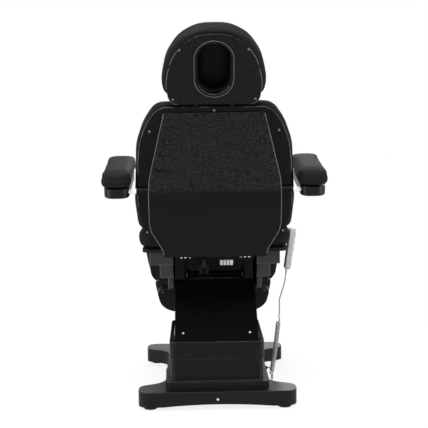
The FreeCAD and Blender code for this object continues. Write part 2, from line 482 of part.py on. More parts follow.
def seat():
    upper_end, lower_end = along_arm((PIVOT_Y, PIVOT_Z), ARM_LENGTH), along_arm(lower_pivot(), ARM_LENGTH)
    rail_low = HINGE_Z - RAIL_DEPTH
    outer = RAIL_IN + RAIL_WIDTH
    pieces = both_sides(lambda s: box(s * RAIL_IN, s * outer, FRAME_REAR, FRAME_FRONT, rail_low, HINGE_Z))
    notch = LEVER_HALF + YOKE_PLAY
    for edge, inward, x in ((FRAME_REAR, 1, BACK_MOTOR_X), (FRAME_FRONT, -1, LEG_MOTOR_X)):
        rail = box(-outer, outer, edge, edge + inward * RAIL_WIDTH, rail_low, HINGE_Z)
        pieces.append(rail.cut(box(x - notch, x + notch, edge - inward * OVERRUN, edge + inward * LEVER_NOTCH,
                                   rail_low - OVERRUN, HINGE_Z + OVERRUN)))
    for s in (-1, 1):
        x0, x1 = s * BRACKET_IN, s * (BRACKET_IN + LINK)
        hangers = [link(end, (end[0], rail_low), BRACKET_RADIUS, x0, x1) for end in (upper_end, lower_end)]
        plate = joined([link(upper_end, lower_end, BRACKET_RADIUS, x0, x1)] + hangers)
        for end in (upper_end, lower_end):
            plate = plate.cut(cross_rod(*end, PIVOT_PIN, x0 - s * OVERRUN, x1 + s * OVERRUN))
        pieces.append(plate)
        for y, edge, eye in ((BACK_PIVOT_Y, FRAME_REAR, HINGE_EYE), (LEG_PIVOT_Y, FRAME_FRONT, LEG_EYE)):
            x0, x1 = s * LUG_IN, s * (LUG_IN + LUG)
            lug = cross_rod(y, HINGE_Z, eye, x0, x1).fuse(box(x0, x1, y, edge, HINGE_Z - eye, HINGE_Z))
            pieces.append(lug.cut(cross_rod(y, HINGE_Z, HINGE_PIN, x0 - s * OVERRUN, x1 + s * OVERRUN)))
    PARTS["seat_frame"] = joined(pieces)

    pins = []
    for y in (BACK_PIVOT_Y, LEG_PIVOT_Y):
        pins += both_sides(lambda s: cross_rod(y, HINGE_Z, HINGE_PIN, s * PLATE_IN, s * (LUG_IN + LUG)))
    for end, inner in ((upper_end, UPPER_IN), (lower_end, LOWER_IN)):
        pins += both_sides(lambda s: cross_rod(*end, PIVOT_PIN, s * inner, s * (BRACKET_IN + LINK)))
    PARTS["hinge_pins"] = Part.makeCompound(pins)
    PARTS["back_motor"] = motor(BACK_MOTOR_X, BACK_MOTOR_START, BACK_MOTOR_END, BACK_ROD_Z, HINGE_Z)
    PARTS["leg_motor"] = motor(LEG_MOTOR_X, LEG_MOTOR_START, LEG_MOTOR_END, LEG_ROD_Z, HINGE_Z)

    ring = rectangle(-BOARD_HALF, BOARD_HALF, BOARD_REAR, BOARD_FRONT, BOARD_CORNER)
    PARTS["seat_board"] = upright_block(ring, HINGE_Z, HINGE_Z + BOARD)
    ring = rectangle(-SEAT_HALF, SEAT_HALF, SEAT_REAR, SEAT_FRONT, SEAT_CORNER)
    PARTS["seat_cushion"] = cushion(ring, SEAT_THICK, lambda u, v, d: V(u, v, HINGE_Z + BOARD + GAP + d))
    PARTS["seat_skirt_left"] = seat_skirt(-1)
    PARTS["seat_skirt_right"] = seat_skirt(1)
    plugs = []
    for i in range(PLUG_COUNT):
        x = PLUG_X - i * PLUG_PITCH
        plugs.append(box(x, x - PLUG_WIDTH, FRAME_REAR, FRAME_REAR + RAIL_WIDTH,
                         rail_low - PLUG_HEIGHT, rail_low))
    PARTS["wiring_plugs"] = Part.makeCompound(plugs)


def seat_skirt(side):
    """One stepped cover beside the lift arm, open towards the arm and at the top."""
    solids, rooms = [], []
    for i, (half, bottom) in enumerate(zip(TIER_HALVES, TIER_BOTTOMS)):
        rear, front = TIER_REAR + i * TIER_STEP, TIER_FRONT - i * TIER_STEP
        solids.append(box(side * SLOT_HALF, side * half, rear, front, bottom, HINGE_Z))
        rooms.append(box(side * (SLOT_HALF - OVERRUN), side * (half - TIER_WALL),
                         rear + TIER_WALL, front - TIER_WALL, bottom + TIER_WALL, HINGE_Z + OVERRUN))
    return joined(solids).cut(joined(rooms))


def back_outline(inset):
    """The right half of the back's outline above its lower corner, drawn in by an inset."""
    return [(BACK_HALF_WAIST - inset, BACK_WAIST, BACK_CORNER_SIDE),
            (BACK_HALF_SIDE - inset, BACK_SIDE, BACK_CORNER_SIDE),
            (BACK_HALF_SHOULDER - inset, BACK_SHOULDER, BACK_CORNER_SIDE),
            (BACK_HALF_TOP - inset, BACK_TOP - inset, BACK_CORNER_TOP)]


def flange_outline():
    """The right half of the shell's flange: it follows the cushion, then tapers to the foot of the panel."""
    foot = [(PANEL_HALF_LOW, PANEL_BOTTOM, PANEL_ROUND), (PANEL_HALF_LOW, PANEL_NARROW, PANEL_CURVE / 2),
            (FLANGE_FOOT_HALF, FLANGE_FOOT, FLANGE_FOOT_CORNER)]
    return foot + back_outline(RIM_INSET)


def back_panel(inset):
    """The raised part of the back's shell, as a solid drawn in by an inset."""
    front = BACK_REAR - GAP
    top, bottom = PANEL_TOP - inset, PANEL_BOTTOM + inset
    profile = [(front, bottom, PANEL_ROUND), (front, top, PANEL_ROUND),
               (BACK_REAR - PANEL_DEPTH_TOP + inset, top, PANEL_ROUND),
               (BACK_REAR - PANEL_DEPTH_BEND + inset, PANEL_BEND, PANEL_CURVE),
               (BACK_REAR - PANEL_DEPTH_CREASE + inset, PANEL_CREASE, PANEL_CURVE),
               (BACK_REAR - PANEL_DEPTH_LOW + inset, bottom, PANEL_ROUND)]
    right = [(PANEL_HALF_LOW - inset, PANEL_BOTTOM - OVERRUN, PANEL_ROUND),
             (PANEL_HALF_LOW - inset, PANEL_NARROW, PANEL_CURVE),
             (PANEL_HALF_WIDE - inset, PANEL_WIDE_LOW, PANEL_CURVE),
             (PANEL_HALF_WIDE - inset, PANEL_WIDE_HIGH, PANEL_CURVE),
             (PANEL_HALF_TOP - inset, PANEL_TOP + OVERRUN, PANEL_ROUND)]
    depth = BACK_REAR - PANEL_DEPTH_CREASE - OVERRUN
    swept = side_block(profile, -PANEL_HALF_WIDE, PANEL_HALF_WIDE)
    return swept.common(facing_block(mirrored(right), depth, BACK_REAR))


def back():
    right = [(BACK_HALF_LOW, BACK_BOTTOM, BACK_CORNER_LOW)] + back_outline(0)
    pad = cushion(mirrored(right), BACK_THICK, lambda u, v, d: V(u, BACK_REAR + d, v))
    groove = SOCKET_RADIUS + 2 * GAP
    for s in (-1, 1):
        x = s * POST_X
        pad = pad.cut(box(x - groove, x + groove, BACK_REAR - OVERRUN, HEAD_PIVOT_Y + groove,
                          POST_BOTTOM - OVERRUN, BACK_TOP + OVERRUN))
    PARTS["back_cushion"] = in_back(pad)

    front = BACK_REAR - GAP
    flange = facing_block(mirrored(flange_outline()), front - WALL, front)
    hollow = back_panel(WALL)
    forward = hollow.copy()
    forward.translate(V(0, WALL, 0))
    shell = joined([flange, back_panel(0)]).cut(hollow).cut(forward)
    for s in (-1, 1):
        bush = BUSH_RADIUS + YOKE_PLAY
        shell = shell.cut(cross_rod(ARM_AXIS_Y, ARM_AXIS_Z, bush, s * UPRIGHT_X, s * BACK_HALF_WAIST))
        foot = V(s * POST_X, HEAD_PIVOT_Y, POST_BOTTOM)
        shell = shell.cut(rod(foot, Z_AXIS, groove, BACK_TOP - POST_BOTTOM))
    PARTS["back_shell"] = in_back(shell.removeSplitter())
    places = [(s * x, front - WALL, z) for x, z in BACK_SCREWS for s in ((-1, 1) if x else (1,))]
    PARTS["back_shell_screws"] = in_back(screws(places, Y_AXIS * -1))
    bored("back_shell", "back_shell_screws")
    PARTS["back_frame"] = back_frame(front).fuse(back_lever()).removeSplitter()


def back_lever():
    pivot = (BACK_PIVOT_Y, HINGE_Z)
    return lever(pivot, lever_tip(*pivot, BACK_LEVER, BACK_LEVER_ANGLE), BACK_MOTOR_X)


def back_frame(front):
    deep, flat = front - FRAME_DEPTH, front - FLAT_BAR
    rail_top = UPRIGHT_LOW + UPRIGHT_WIDTH
    goose = [(-HINGE_TUBE, -HINGE_TUBE), (HINGE_TUBE, -HINGE_TUBE), (HINGE_TUBE, HINGE_TUBE),
             (front, GOOSE_BEND), (front, rail_top), (deep, rail_top), (deep, GOOSE_BEND + HINGE_TUBE),
             (-HINGE_TUBE, HINGE_TUBE)]
    pieces = both_sides(lambda s: side_plate(goose, s * PLATE_IN, s * (PLATE_IN + PLATE_WIDTH)))
    pieces.append(cross_rod(0, 0, HINGE_TUBE, -PLATE_IN, PLATE_IN))
    edge = UPRIGHT_X + UPRIGHT_WIDTH / 2
    pieces.append(box(-edge, edge, deep, front, UPRIGHT_LOW, UPRIGHT_LOW + UPRIGHT_WIDTH))
    pieces += both_sides(lambda s: box(s * edge, s * (edge - UPRIGHT_WIDTH), flat, front,
                                       UPRIGHT_LOW, UPRIGHT_HIGH))
    pieces.append(box(-edge, edge, flat, front, SOCKET_BOTTOM, SOCKET_BOTTOM + UPRIGHT_WIDTH))
    half = BUSH_RADIUS
    pieces.append(box(-BUSH_IN, BUSH_IN, ARM_AXIS_Y - half, front, ARM_AXIS_Z - half, ARM_AXIS_Z + half))
    pieces += both_sides(lambda s: cross_rod(ARM_AXIS_Y, ARM_AXIS_Z, BUSH_RADIUS, s * BUSH_IN, s * BUSH_OUT))
    pieces += both_sides(lambda s: rod(V(s * POST_X, HEAD_PIVOT_Y, SOCKET_BOTTOM), Z_AXIS, SOCKET_RADIUS,
                                       SOCKET_TOP - SOCKET_BOTTOM))
    frame = joined(pieces)
    for s in (-1, 1):
        frame = frame.cut(cross_rod(0, 0, HINGE_PIN + RUN, s * PLATE_IN, s * LUG_IN))
        bore = cross_rod(ARM_AXIS_Y, ARM_AXIS_Z, ARM_TUBE + RUN, s * BUSH_IN, s * (BUSH_OUT + OVERRUN))
        foot = V(s * POST_X, HEAD_PIVOT_Y, POST_BOTTOM)
        frame = frame.cut(bore).cut(rod(foot, Z_AXIS, POST_RADIUS + RUN, BACK_TOP - POST_BOTTOM))
    return in_back(frame)


def armrests():
    axis_y, axis_z = back_point(ARM_AXIS_Y, ARM_AXIS_Z)
    for name, s in (("left", -1), ("right", 1)):
        middle = s * ARM_X
        tube = cross_rod(0, 0, ARM_TUBE, s * (BUSH_IN + GAP), s * (ARM_X + TRAY_HALF - TRAY_EDGE))
        ring = rectangle(middle - TRAY_HALF, middle + TRAY_HALF, TRAY_REAR, TRAY_FRONT, TRAY_CORNER)
        tray = upright_block(ring, TRAY_BOTTOM, TRAY_TOP)
        tray = tray.makeFillet(TRAY_EDGE, edges_at(tray, Z_AXIS, TRAY_BOTTOM)).cut(tube)
        ring = rectangle(middle - PAD_HALF, middle + PAD_HALF, PAD_REAR, PAD_FRONT, PAD_CORNER)
        pad = cushion(ring, PAD_THICK, lambda u, v, d: V(u, v, TRAY_TOP + GAP + d))
        for piece, shape in (("tube", tube), ("tray", tray), ("pad", pad)):
            PARTS[f"armrest_{name}_{piece}"] = placed(shape, axis_y, axis_z, ARM_RISE)


def head_outline(inset, low):
    """The right half of the headrest's outline, drawn in by an inset, from a lower edge."""
    return [(HEAD_HALF_LOW - inset, low, HEAD_CORNER_LOW),
            (HEAD_HALF_WIDE - inset, HEAD_WIDE, HEAD_CORNER_SIDE),
            (HEAD_HALF_SIDE - inset, HEAD_SIDE, HEAD_CORNER_SIDE),
            (HEAD_HALF_SHOULDER - inset, HEAD_SHOULDER - inset, HEAD_CORNER_TOP),
            (HEAD_HALF_TOP, HEAD_TOP - inset, HEAD_CORNER_TOP)]


def face_oval(grow, y0, y1):
    """The long round of the face hole, grown by a spread."""
    half_x, half_z = HOLE_HALF_X + grow, HOLE_HALF_Z + grow
    ring = rectangle(-half_x, half_x, HOLE_Z - half_z, HOLE_Z + half_z, half_x - GAP)
    return facing_block(ring, y0, y1)


def headrest():
    far = HEAD_REAR + HEAD_THICK + OVERRUN
    pad = cushion(mirrored(head_outline(0, HEAD_LOW)), HEAD_THICK, lambda u, v, d: V(u, HEAD_REAR + d, v))
    half = BRACKET_HALF + GAP
    recess = box(-half, half, HEAD_REAR - OVERRUN, HEAD_REAR + BRACKET + GAP, -OVERRUN, BRACKET_HIGH + GAP)
    PARTS["headrest_cushion"] = in_head(pad.cut(face_oval(0, HEAD_REAR - OVERRUN, far)).cut(recess))
    PARTS["face_plug"] = in_head(face_oval(-GAP, PLUG_REAR, PLUG_PROUD))

    rear = HEAD_REAR - GAP - HEAD_SHELL
    shell = facing_block(mirrored(head_outline(HEAD_RIM, HEAD_LOW - HEAD_LIP)), rear, HEAD_REAR - GAP)
    shell = shell.makeFillet(HEAD_SHELL / 2, edges_at(shell, Y_AXIS, rear))
    collar = face_oval(HOLE_RIM, rear - HEAD_SHELL / 2, HEAD_REAR - GAP)
    PARTS["headrest_shell"] = in_head(joined([shell, collar]).cut(face_oval(0, rear - OVERRUN, far)))
    places = [(s * x, rear, z) for x, z in HEAD_SCREWS for s in (-1, 1)]
    PARTS["headrest_screws"] = in_head(screws(places, Y_AXIS * -1))
    bored("headrest_shell", "headrest_screws")

    tab = box(-BRACKET_HALF, BRACKET_HALF, HEAD_REAR - GAP, 0, -TILT_BAR, TILT_BAR)
    plate = box(-BRACKET_HALF, BRACKET_HALF, HEAD_REAR - GAP, HEAD_REAR + BRACKET, -TILT_BAR, BRACKET_HIGH)
    bracket = joined([tab, plate, cross_rod(0, 0, TILT_EYE, -BRACKET_HALF, BRACKET_HALF)])
    PARTS["headrest_bracket"] = in_head(bracket.cut(cross_rod(0, 0, TILT_BAR + RUN, -POST_X, POST_X)))

    post_length = HEAD_PIVOT_Z + POST_CAP - POST_BOTTOM
    posts = both_sides(lambda s: rod(V(s * POST_X, HEAD_PIVOT_Y, POST_BOTTOM), Z_AXIS, POST_RADIUS,
                                     post_length))
    bar = cross_rod(HEAD_PIVOT_Y, HEAD_PIVOT_Z, TILT_BAR, -POST_X - POST_RADIUS, POST_X + POST_RADIUS)
    PARTS["headrest_posts"] = in_back(joined(posts + [bar]))


def leg_ring(half, half_end, start, end):
    near, far = LEG_CORNERS
    return [(-half, start, near), (half, start, near), (half_end, end, far), (-half_end, end, far)]


def leg_tray(half, half_end, start, end, low):
    """A hollow tray under a leg pad."""
    ring = leg_ring(half - SHELL_INSET, half_end - SHELL_INSET, start, end - SHELL_INSET)
    outer = upright_block(ring, low, PAD_LOW - GAP)
    wall = SHELL_INSET + WALL
    inner = leg_ring(half - wall, half_end - wall, start + WALL, end - wall)
    return outer.cut(upright_block(inner, low + WALL, PAD_LOW + OVERRUN))


def legs():
    def pad(ring, thick):
        return cushion(ring, thick, lambda u, v, d: V(u, v, PAD_LOW + d))

    leg_plan = leg_ring(LEG_HALF, LEG_HALF_END, LEG_START, LEG_END)
    foot_plan = leg_ring(FOOT_HALF, FOOT_HALF_END, FOOT_START, FOOT_END)
    PARTS["legrest_cushion"] = in_leg(pad(leg_plan, LEG_THICK))
    PARTS["footrest_cushion"] = in_leg(pad(foot_plan, FOOT_THICK))
    leg = leg_tray(LEG_HALF, LEG_HALF_END, LEG_SHELL_START, LEG_END, LEG_SHELL_LOW)
    foot = leg_tray(FOOT_HALF, FOOT_HALF_END, FOOT_START + SHELL_INSET, FOOT_END, LEG_SHELL_LOW)
    reach = PLATE_IN + PLATE_WIDTH + YOKE_PLAY
    leg = leg.cut(box(-reach, reach, 0, LEG_PLATE_START + WALL, LEG_SHELL_LOW - OVERRUN, PAD_LOW))
    for s in (-1, 1):
        hole = rod(V(s * GUIDE_X, GUIDE_END, 0), Y_AXIS, SLIDE_HOLE, FOOT_PLATE_START - GUIDE_END)
        leg, foot = leg.cut(hole), foot.cut(hole)
    PARTS["legrest_shell"] = in_leg(leg)
    PARTS["footrest_shell"] = in_leg(foot)

    top, floor = PAD_LOW - GAP, LEG_SHELL_LOW + WALL
    low = top - LEG_PLATE
    edge = GUIDE_X + GUIDE_RADIUS
    pieces = [box(-edge, edge, LEG_PLATE_START, GUIDE_END, low, top),
              cross_rod(0, 0, HINGE_TUBE, -PLATE_IN, PLATE_IN)]
    for s in (-1, 1):
        x0, x1 = s * PLATE_IN, s * (PLATE_IN + PLATE_WIDTH)
        arm = [cross_rod(0, 0, HINGE_TUBE, x0, x1), box(x0, x1, 0, LEG_PLATE_START + WALL, -WALL, HINGE_TUBE)]
        guide = rod(V(s * GUIDE_X, GUIDE_START, 0), Y_AXIS, GUIDE_RADIUS, GUIDE_END - GUIDE_START)
        foot = box(s * GUIDE_X - SLIDE_RADIUS, s * GUIDE_X + SLIDE_RADIUS,
                   GUIDE_START, GUIDE_END - LEG_PLATE_START, floor, low)
        pieces += arm + [guide, foot]
    frame = joined(pieces)
    for s in (-1, 1):
        frame = frame.cut(cross_rod(0, 0, HINGE_PIN + RUN, s * PLATE_IN, s * LUG_IN))
        frame = frame.cut(rod(V(s * GUIDE_X, 0, 0), Y_AXIS, SLIDE_RADIUS + RUN, FOOT_END))
    pivot = (LEG_PIVOT_Y, HINGE_Z)
    arm = lever(pivot, lever_tip(*pivot, LEG_LEVER, LEG_LEVER_ANGLE), LEG_MOTOR_X)
    PARTS["legrest_frame"] = joined([in_leg(frame), arm])

    rods = both_sides(lambda s: rod(V(s * GUIDE_X, SLIDE_START, 0), Y_AXIS, SLIDE_RADIUS,
                                    SLIDE_END - SLIDE_START))
    lugs = both_sides(lambda s: box(s * GUIDE_X - SLIDE_RADIUS, s * GUIDE_X + SLIDE_RADIUS,
                                    FOOT_PLATE_START, SLIDE_END, floor, low))
    plate = box(-edge, edge, FOOT_PLATE_START, FOOT_PLATE_END, low, top)
    PARTS["footrest_frame"] = in_leg(joined(rods + lugs + [plate]))


def rods():
    tip = lever_tip(BACK_PIVOT_Y, HINGE_Z, BACK_LEVER, BACK_LEVER_ANGLE)
    PARTS["back_rod"] = yoke_rod(BACK_MOTOR_X, tip[0], BACK_ROD_Z, 1, SEAT_ROD_LENGTH + YOKE_FRONT)
    tip = lever_tip(LEG_PIVOT_Y, HINGE_Z, LEG_LEVER, LEG_LEVER_ANGLE)
    PARTS["leg_rod"] = yoke_rod(LEG_MOTOR_X, tip[0], LEG_ROD_Z, -1, SEAT_ROD_LENGTH + YOKE_FRONT)


def in_handset(shape):
    copy = shape.copy()
    copy.rotate(V(0, 0, 0), Y_AXIS, HANDSET_TILT)
    copy.translate(V(HANDSET_X, HANDSET_Y, HANDSET_Z))
    return copy


def handset():
    def block(x0, x1, inset):
        half = HANDSET_WIDTH / 2 - inset
        ring = rectangle(-half, half, inset, HANDSET_LENGTH - inset, HANDSET_CORNER - inset)
        return side_block(ring, x0, x1)

    rear = block(0, HANDSET_SPLIT, 0)
    rear = rear.makeFillet(HANDSET_EDGE, edges_at(rear, X_AXIS, 0))
    rear = rear.cut(block(CASE_WALL, HANDSET_SPLIT + OVERRUN, CASE_WALL))
    front = block(HANDSET_SPLIT, HANDSET_THICK, 0)
    front = front.makeFillet(HANDSET_EDGE, edges_at(front, X_AXIS, HANDSET_THICK))
    front = front.cut(block(HANDSET_SPLIT - OVERRUN, HANDSET_THICK - CASE_WALL, CASE_WALL))

    def key(column, row, grow, x0, x1):
        y = column * BUTTON_PITCH_Y / 2
        z = BUTTON_FIRST + row * BUTTON_PITCH_Z
        half_y, half_z = BUTTON_Y / 2 + grow, BUTTON_Z / 2 + grow
        return side_block(rectangle(y - half_y, y + half_y, z - half_z, z + half_z, BUTTON_CORNER), x0, x1)

    top = HANDSET_THICK + BUTTON_PROUD
    places = [(column, row) for row in range(BUTTON_ROWS) for column in (-1, 1)]
    for number, (column, row) in enumerate(places, start=1):
        front = front.cut(key(column, row, BUTTON_GAP, HANDSET_SPLIT, top))
        PARTS[f"handset_button_{number}"] = in_handset(key(column, row, 0, top - BUTTON_DEEP, top))
    near, far = HANDSET_Y - HOOK_HALF, HANDSET_Y + HOOK_HALF
    clip = box(HOOK_AT + HOOK, HOOK_AT + HOOK + CLIP_REACH, near, far, CLIP_LOW, CLIP_HIGH)
    clip = clip.cut(in_handset(block(CASE_WALL, HANDSET_THICK + 2 * OVERRUN, 0)))
    PARTS["handset_back_case"] = joined([in_handset(rear), clip])
    PARTS["handset_front_case"] = in_handset(front)
    foot = V(HANDSET_SPLIT, 0, -RELIEF_LENGTH)
    relief = Part.makeCone(RELIEF_NARROW, RELIEF_WIDE, RELIEF_LENGTH, foot, Z_AXIS)
    PARTS["handset_strain_relief"] = in_handset(relief)
    strip = box(HOOK_START, HOOK_AT + HOOK, near, far, HINGE_Z - HOOK, HINGE_Z)
    upturn = box(HOOK_AT, HOOK_AT + HOOK, near, far, HINGE_Z - HOOK, HOOK_TOP)
    PARTS["handset_hook"] = joined([strip, upturn])


def arc_from(start, tangent, end):
    """The arc that leaves start along a tangent and reaches end."""
    chord = end - start
    normal = chord - tangent * chord.dot(tangent)
    if normal.Length < chord.Length * RUN * RUN:
        return Part.makeLine(start, end)
    normal = normal.normalize()
    radius = chord.Length ** 2 / (2 * chord.dot(normal))
    centre = start + normal * radius
    towards = ((start + end) * 0.5 - centre).normalize()
    return Part.Arc(start, centre + towards * radius, end).toShape()


def biarc(start, leaving, end, arriving):
    """Two tangent arcs between two points with given directions."""
    chord = end - start
    a = 2 * (1 - leaving.dot(arriving))
    b = 2 * chord.dot(leaving + arriving)
    reach = (math.sqrt(b * b + 4 * a * chord.dot(chord)) - b) / (2 * a)
    first, second = start + leaving * reach, end - arriving * reach
    middle = (first + second) * 0.5
    return [arc_from(start, leaving, middle), arc_from(middle, (second - first).normalize(), end)]


def cord_along(edges, name):
    """A round cord along tangent edges; prints its volume against section times length."""
    wire = Part.Wire(edges)
    first = edges[0]
    heading = first.tangentAt(first.FirstParameter)
    ring = Part.Wire([Part.makeCircle(CORD_RADIUS, first.Vertexes[0].Point, heading)])
    solid = wire.makePipeShell([ring], True, False)
    share = solid.Volume / (math.pi * CORD_RADIUS ** 2 * wire.Length)
    print(name, "length", round(wire.Length), "volume share", round(share, 4))
    return solid


def soft_route(points):
    """Straight runs joined by tangent arcs; prints the arcs' radii."""
    edges, radii = [], []
    here = points[0]
    for before, corner, after in zip(points, points[1:], points[2:]):
        back_way, onward = before - corner, after - corner
        turn = math.pi - back_way.getAngle(onward)
        reach = BEND_SHARE * min(back_way.Length, onward.Length)
        radii.append(round(reach / math.tan(turn / 2)))
        back_way, onward = back_way.normalize(), onward.normalize()
        enter, leave = corner + back_way * reach, corner + onward * reach
        edges += [Part.makeLine(here, enter), arc_from(enter, back_way * -1, leave)]
        here = leave
    edges.append(Part.makeLine(here, points[-1]))
    print("cord radii", radii)
    return edges


def cord():
    lean = math.radians(CURL_LEAN)
    down = V(-math.sin(lean), 0, -math.cos(lean))
    across = V(math.cos(lean), 0, -math.sin(lean))
    aside = down.cross(across)
    step = CURL_PITCH / (2 * math.pi)

    def point(angle):
        ray = across * math.cos(angle) + aside * math.sin(angle)
        return CURL_TOP + ray * CURL_RADIUS + down * (step * angle)

    def heading(angle):
        turn = aside * math.cos(angle) - across * math.sin(angle)
        return (turn * CURL_RADIUS + down * step).normalize()

    quarter = math.pi / 2
    last = CURL_TURNS * 2 * math.pi
    straight = 2 * CORD_RADIUS
    entry = point(0) - down * CURL_RADIUS - heading(0) * CURL_RADIUS
    leave = point(last) + down * CURL_RADIUS + heading(last) * CURL_RADIUS
    start, end = entry - down * straight, leave + down * straight
    edges = [Part.makeLine(start, entry)] + biarc(entry, down, point(0), heading(0))
    for i in range(4 * CURL_TURNS):
        angle = i * quarter
        edges += biarc(point(angle), heading(angle), point(angle + quarter), heading(angle + quarter))
    edges += biarc(point(last), heading(last), leave, down) + [Part.makeLine(leave, end)]
    turned = V(end.x - TAIL_RADIUS * (1 + math.sin(lean)), end.y, end.z - TAIL_RADIUS * math.cos(lean))
    mouth = V(WAIST_HALF + GLAND_LENGTH, turned.y, turned.z)
    edges += [arc_from(end, down, turned), Part.makeLine(turned, mouth)]
    PARTS["cord_curl"] = cord_along(edges, "curl")
    rise = math.atan(step / CURL_RADIUS)
    print("least gap between curls", round(CURL_PITCH * math.cos(rise) - 2 * CORD_RADIUS, 2))
    PARTS["cord_socket"] = rod(V(WAIST_HALF, mouth.y, mouth.z), X_AXIS, GLAND_RADIUS, GLAND_LENGTH)

    tilt = FreeCAD.Rotation(Y_AXIS, HANDSET_TILT)
    tip = tilt.multVec(V(HANDSET_SPLIT, 0, -RELIEF_LENGTH)) + V(HANDSET_X, HANDSET_Y, HANDSET_Z)
    route = [start, start - down * LEAD_RUN] + [CURL_TOP + V(*p) for p in LEAD_ROUTE]
    route += [tip - tilt.multVec(Z_AXIS) * LEAD_RUN, tip]
    PARTS["cord_lead"] = cord_along(soft_route(route), "lead")


def main():
    for make in (base, skirt, lift, seat, back, armrests, headrest, legs, rods, handset, cord):
        make()
    os.makedirs("parts", exist_ok=True)
    for name, shape in sorted(PARTS.items()):
        shape = shape.copy()
        shape.translate(V(0, -ORIGIN_Y, 0))
        if not shape.isValid() or not shape.Solids:
            print("not valid:", name, len(shape.Solids))
        shape.exportStep(f"parts/{name}.step")
    solids = [shape for name, shape in PARTS.items() if not name.startswith("cord_")]
    whole = Part.makeCompound(solids).BoundBox
    middle = (whole.YMin + whole.YMax) / 2
    print(len(PARTS), "nodes, middle y", round(middle, 3), "height", round(whole.ZMax, 1))


main()
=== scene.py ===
# %% [markdown]
# # A treatment chair, dressed
# The CAD model holds every rigid piece at its real size. This file adds what CAD leaves plain: the
# upholstery, its seams, the curly handset cord, the finishes, the light and the camera. Lengths are in
# metres, and the chair faces along +Y, so the camera looks at its back.

# %% Load the frame
import json
import math

import bmesh
import bpy
import numpy as np
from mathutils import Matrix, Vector
from mathutils.bvhtree import BVHTree


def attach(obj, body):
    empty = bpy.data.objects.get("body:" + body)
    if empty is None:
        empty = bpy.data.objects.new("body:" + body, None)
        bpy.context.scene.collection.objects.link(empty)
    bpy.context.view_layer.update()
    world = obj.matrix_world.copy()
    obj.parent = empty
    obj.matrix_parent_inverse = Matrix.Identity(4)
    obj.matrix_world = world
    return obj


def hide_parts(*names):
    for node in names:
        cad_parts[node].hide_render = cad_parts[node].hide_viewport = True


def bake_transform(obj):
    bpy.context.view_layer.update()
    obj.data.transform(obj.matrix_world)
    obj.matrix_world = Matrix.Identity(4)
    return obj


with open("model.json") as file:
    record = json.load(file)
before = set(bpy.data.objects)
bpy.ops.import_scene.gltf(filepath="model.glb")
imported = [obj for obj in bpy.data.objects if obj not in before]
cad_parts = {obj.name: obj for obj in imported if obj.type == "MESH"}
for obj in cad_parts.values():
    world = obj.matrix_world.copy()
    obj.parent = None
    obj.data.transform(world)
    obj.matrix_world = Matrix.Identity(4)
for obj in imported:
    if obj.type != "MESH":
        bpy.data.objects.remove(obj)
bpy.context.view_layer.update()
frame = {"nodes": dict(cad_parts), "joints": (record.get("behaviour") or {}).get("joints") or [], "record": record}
scene = bpy.context.scene
NODE_SLOT = {row["node"]: row["material_slot"] for row in frame["record"]["subparts"]}
NODE_BODY = {node: body for body, nodes in frame["record"]["behaviour"]["bodies"].items() for node in nodes}
JOINT = {joint["name"]: joint for joint in frame["joints"]}
print("nodes", len(NODE_SLOT))

# %% [markdown]
# The back, the headrest, the armrests and the leg rest all lean. Two small functions give the forward and
# the upward direction of a piece from its lean, so that no later step repeats the trigonometry. The leg
# rest hangs down in front, so its lean is negative.

# %% Leaning directions
ACROSS = (1.0, 0.0, 0.0)
BACK_LEAN, HEAD_LEAN, ARM_LEAN, LEG_LEAN = 13.0, 25.0, 9.0, -60.0


def leaning(degrees):
    """The forward direction of a piece that leans back: the cosine of its angle along Y, the sine along Z."""
    return (0.0, math.cos(math.radians(degrees)), math.sin(math.radians(degrees)))


def upright(degrees):
    """The upward direction of a piece that leans back: less the sine along Y, and the cosine along Z."""
    return (0.0, -math.sin(math.radians(degrees)), math.cos(math.radians(degrees)))


LEG_UP, LEG_ALONG = upright(LEG_LEAN), leaning(LEG_LEAN)
BACK_HINGE = np.array(JOINT["recline"]["pos_m"])
HEAD_HINGE = np.array(JOINT["headrest_tilt"]["pos_m"])
LEG_HINGE = Vector(JOINT["legrest"]["pos_m"])
print("hinge of the back", BACK_HINGE.round(3))

# %% [markdown]
# Shader maths reads best as maths. One small class wraps a socket, so that `grain * 0.3 + 0.4` adds the
# Math nodes by itself. Every other node comes from one method, which sets its options and then its inputs.
# The nodes could be placed by hand in the editor, but then the numbers would be hidden in them.


# %% A socket that can be added and multiplied
class Value:
    """A socket whose sums, differences and products are Math nodes."""

    def __init__(self, shade, socket):
        self.shade, self.socket = shade, socket

    def math(self, operation, first, second):
        return self.shade.node("ShaderNodeMath", {"operation": operation}, {0: first, 1: second})

    def __add__(self, other):
        return self.math("ADD", self, other)

    def __mul__(self, other):
        return self.math("MULTIPLY", self, other)

    def __sub__(self, other):
        return self.math("SUBTRACT", self, other)

    def __rsub__(self, other):
        return self.math("SUBTRACT", other, self)

    __radd__ = __add__


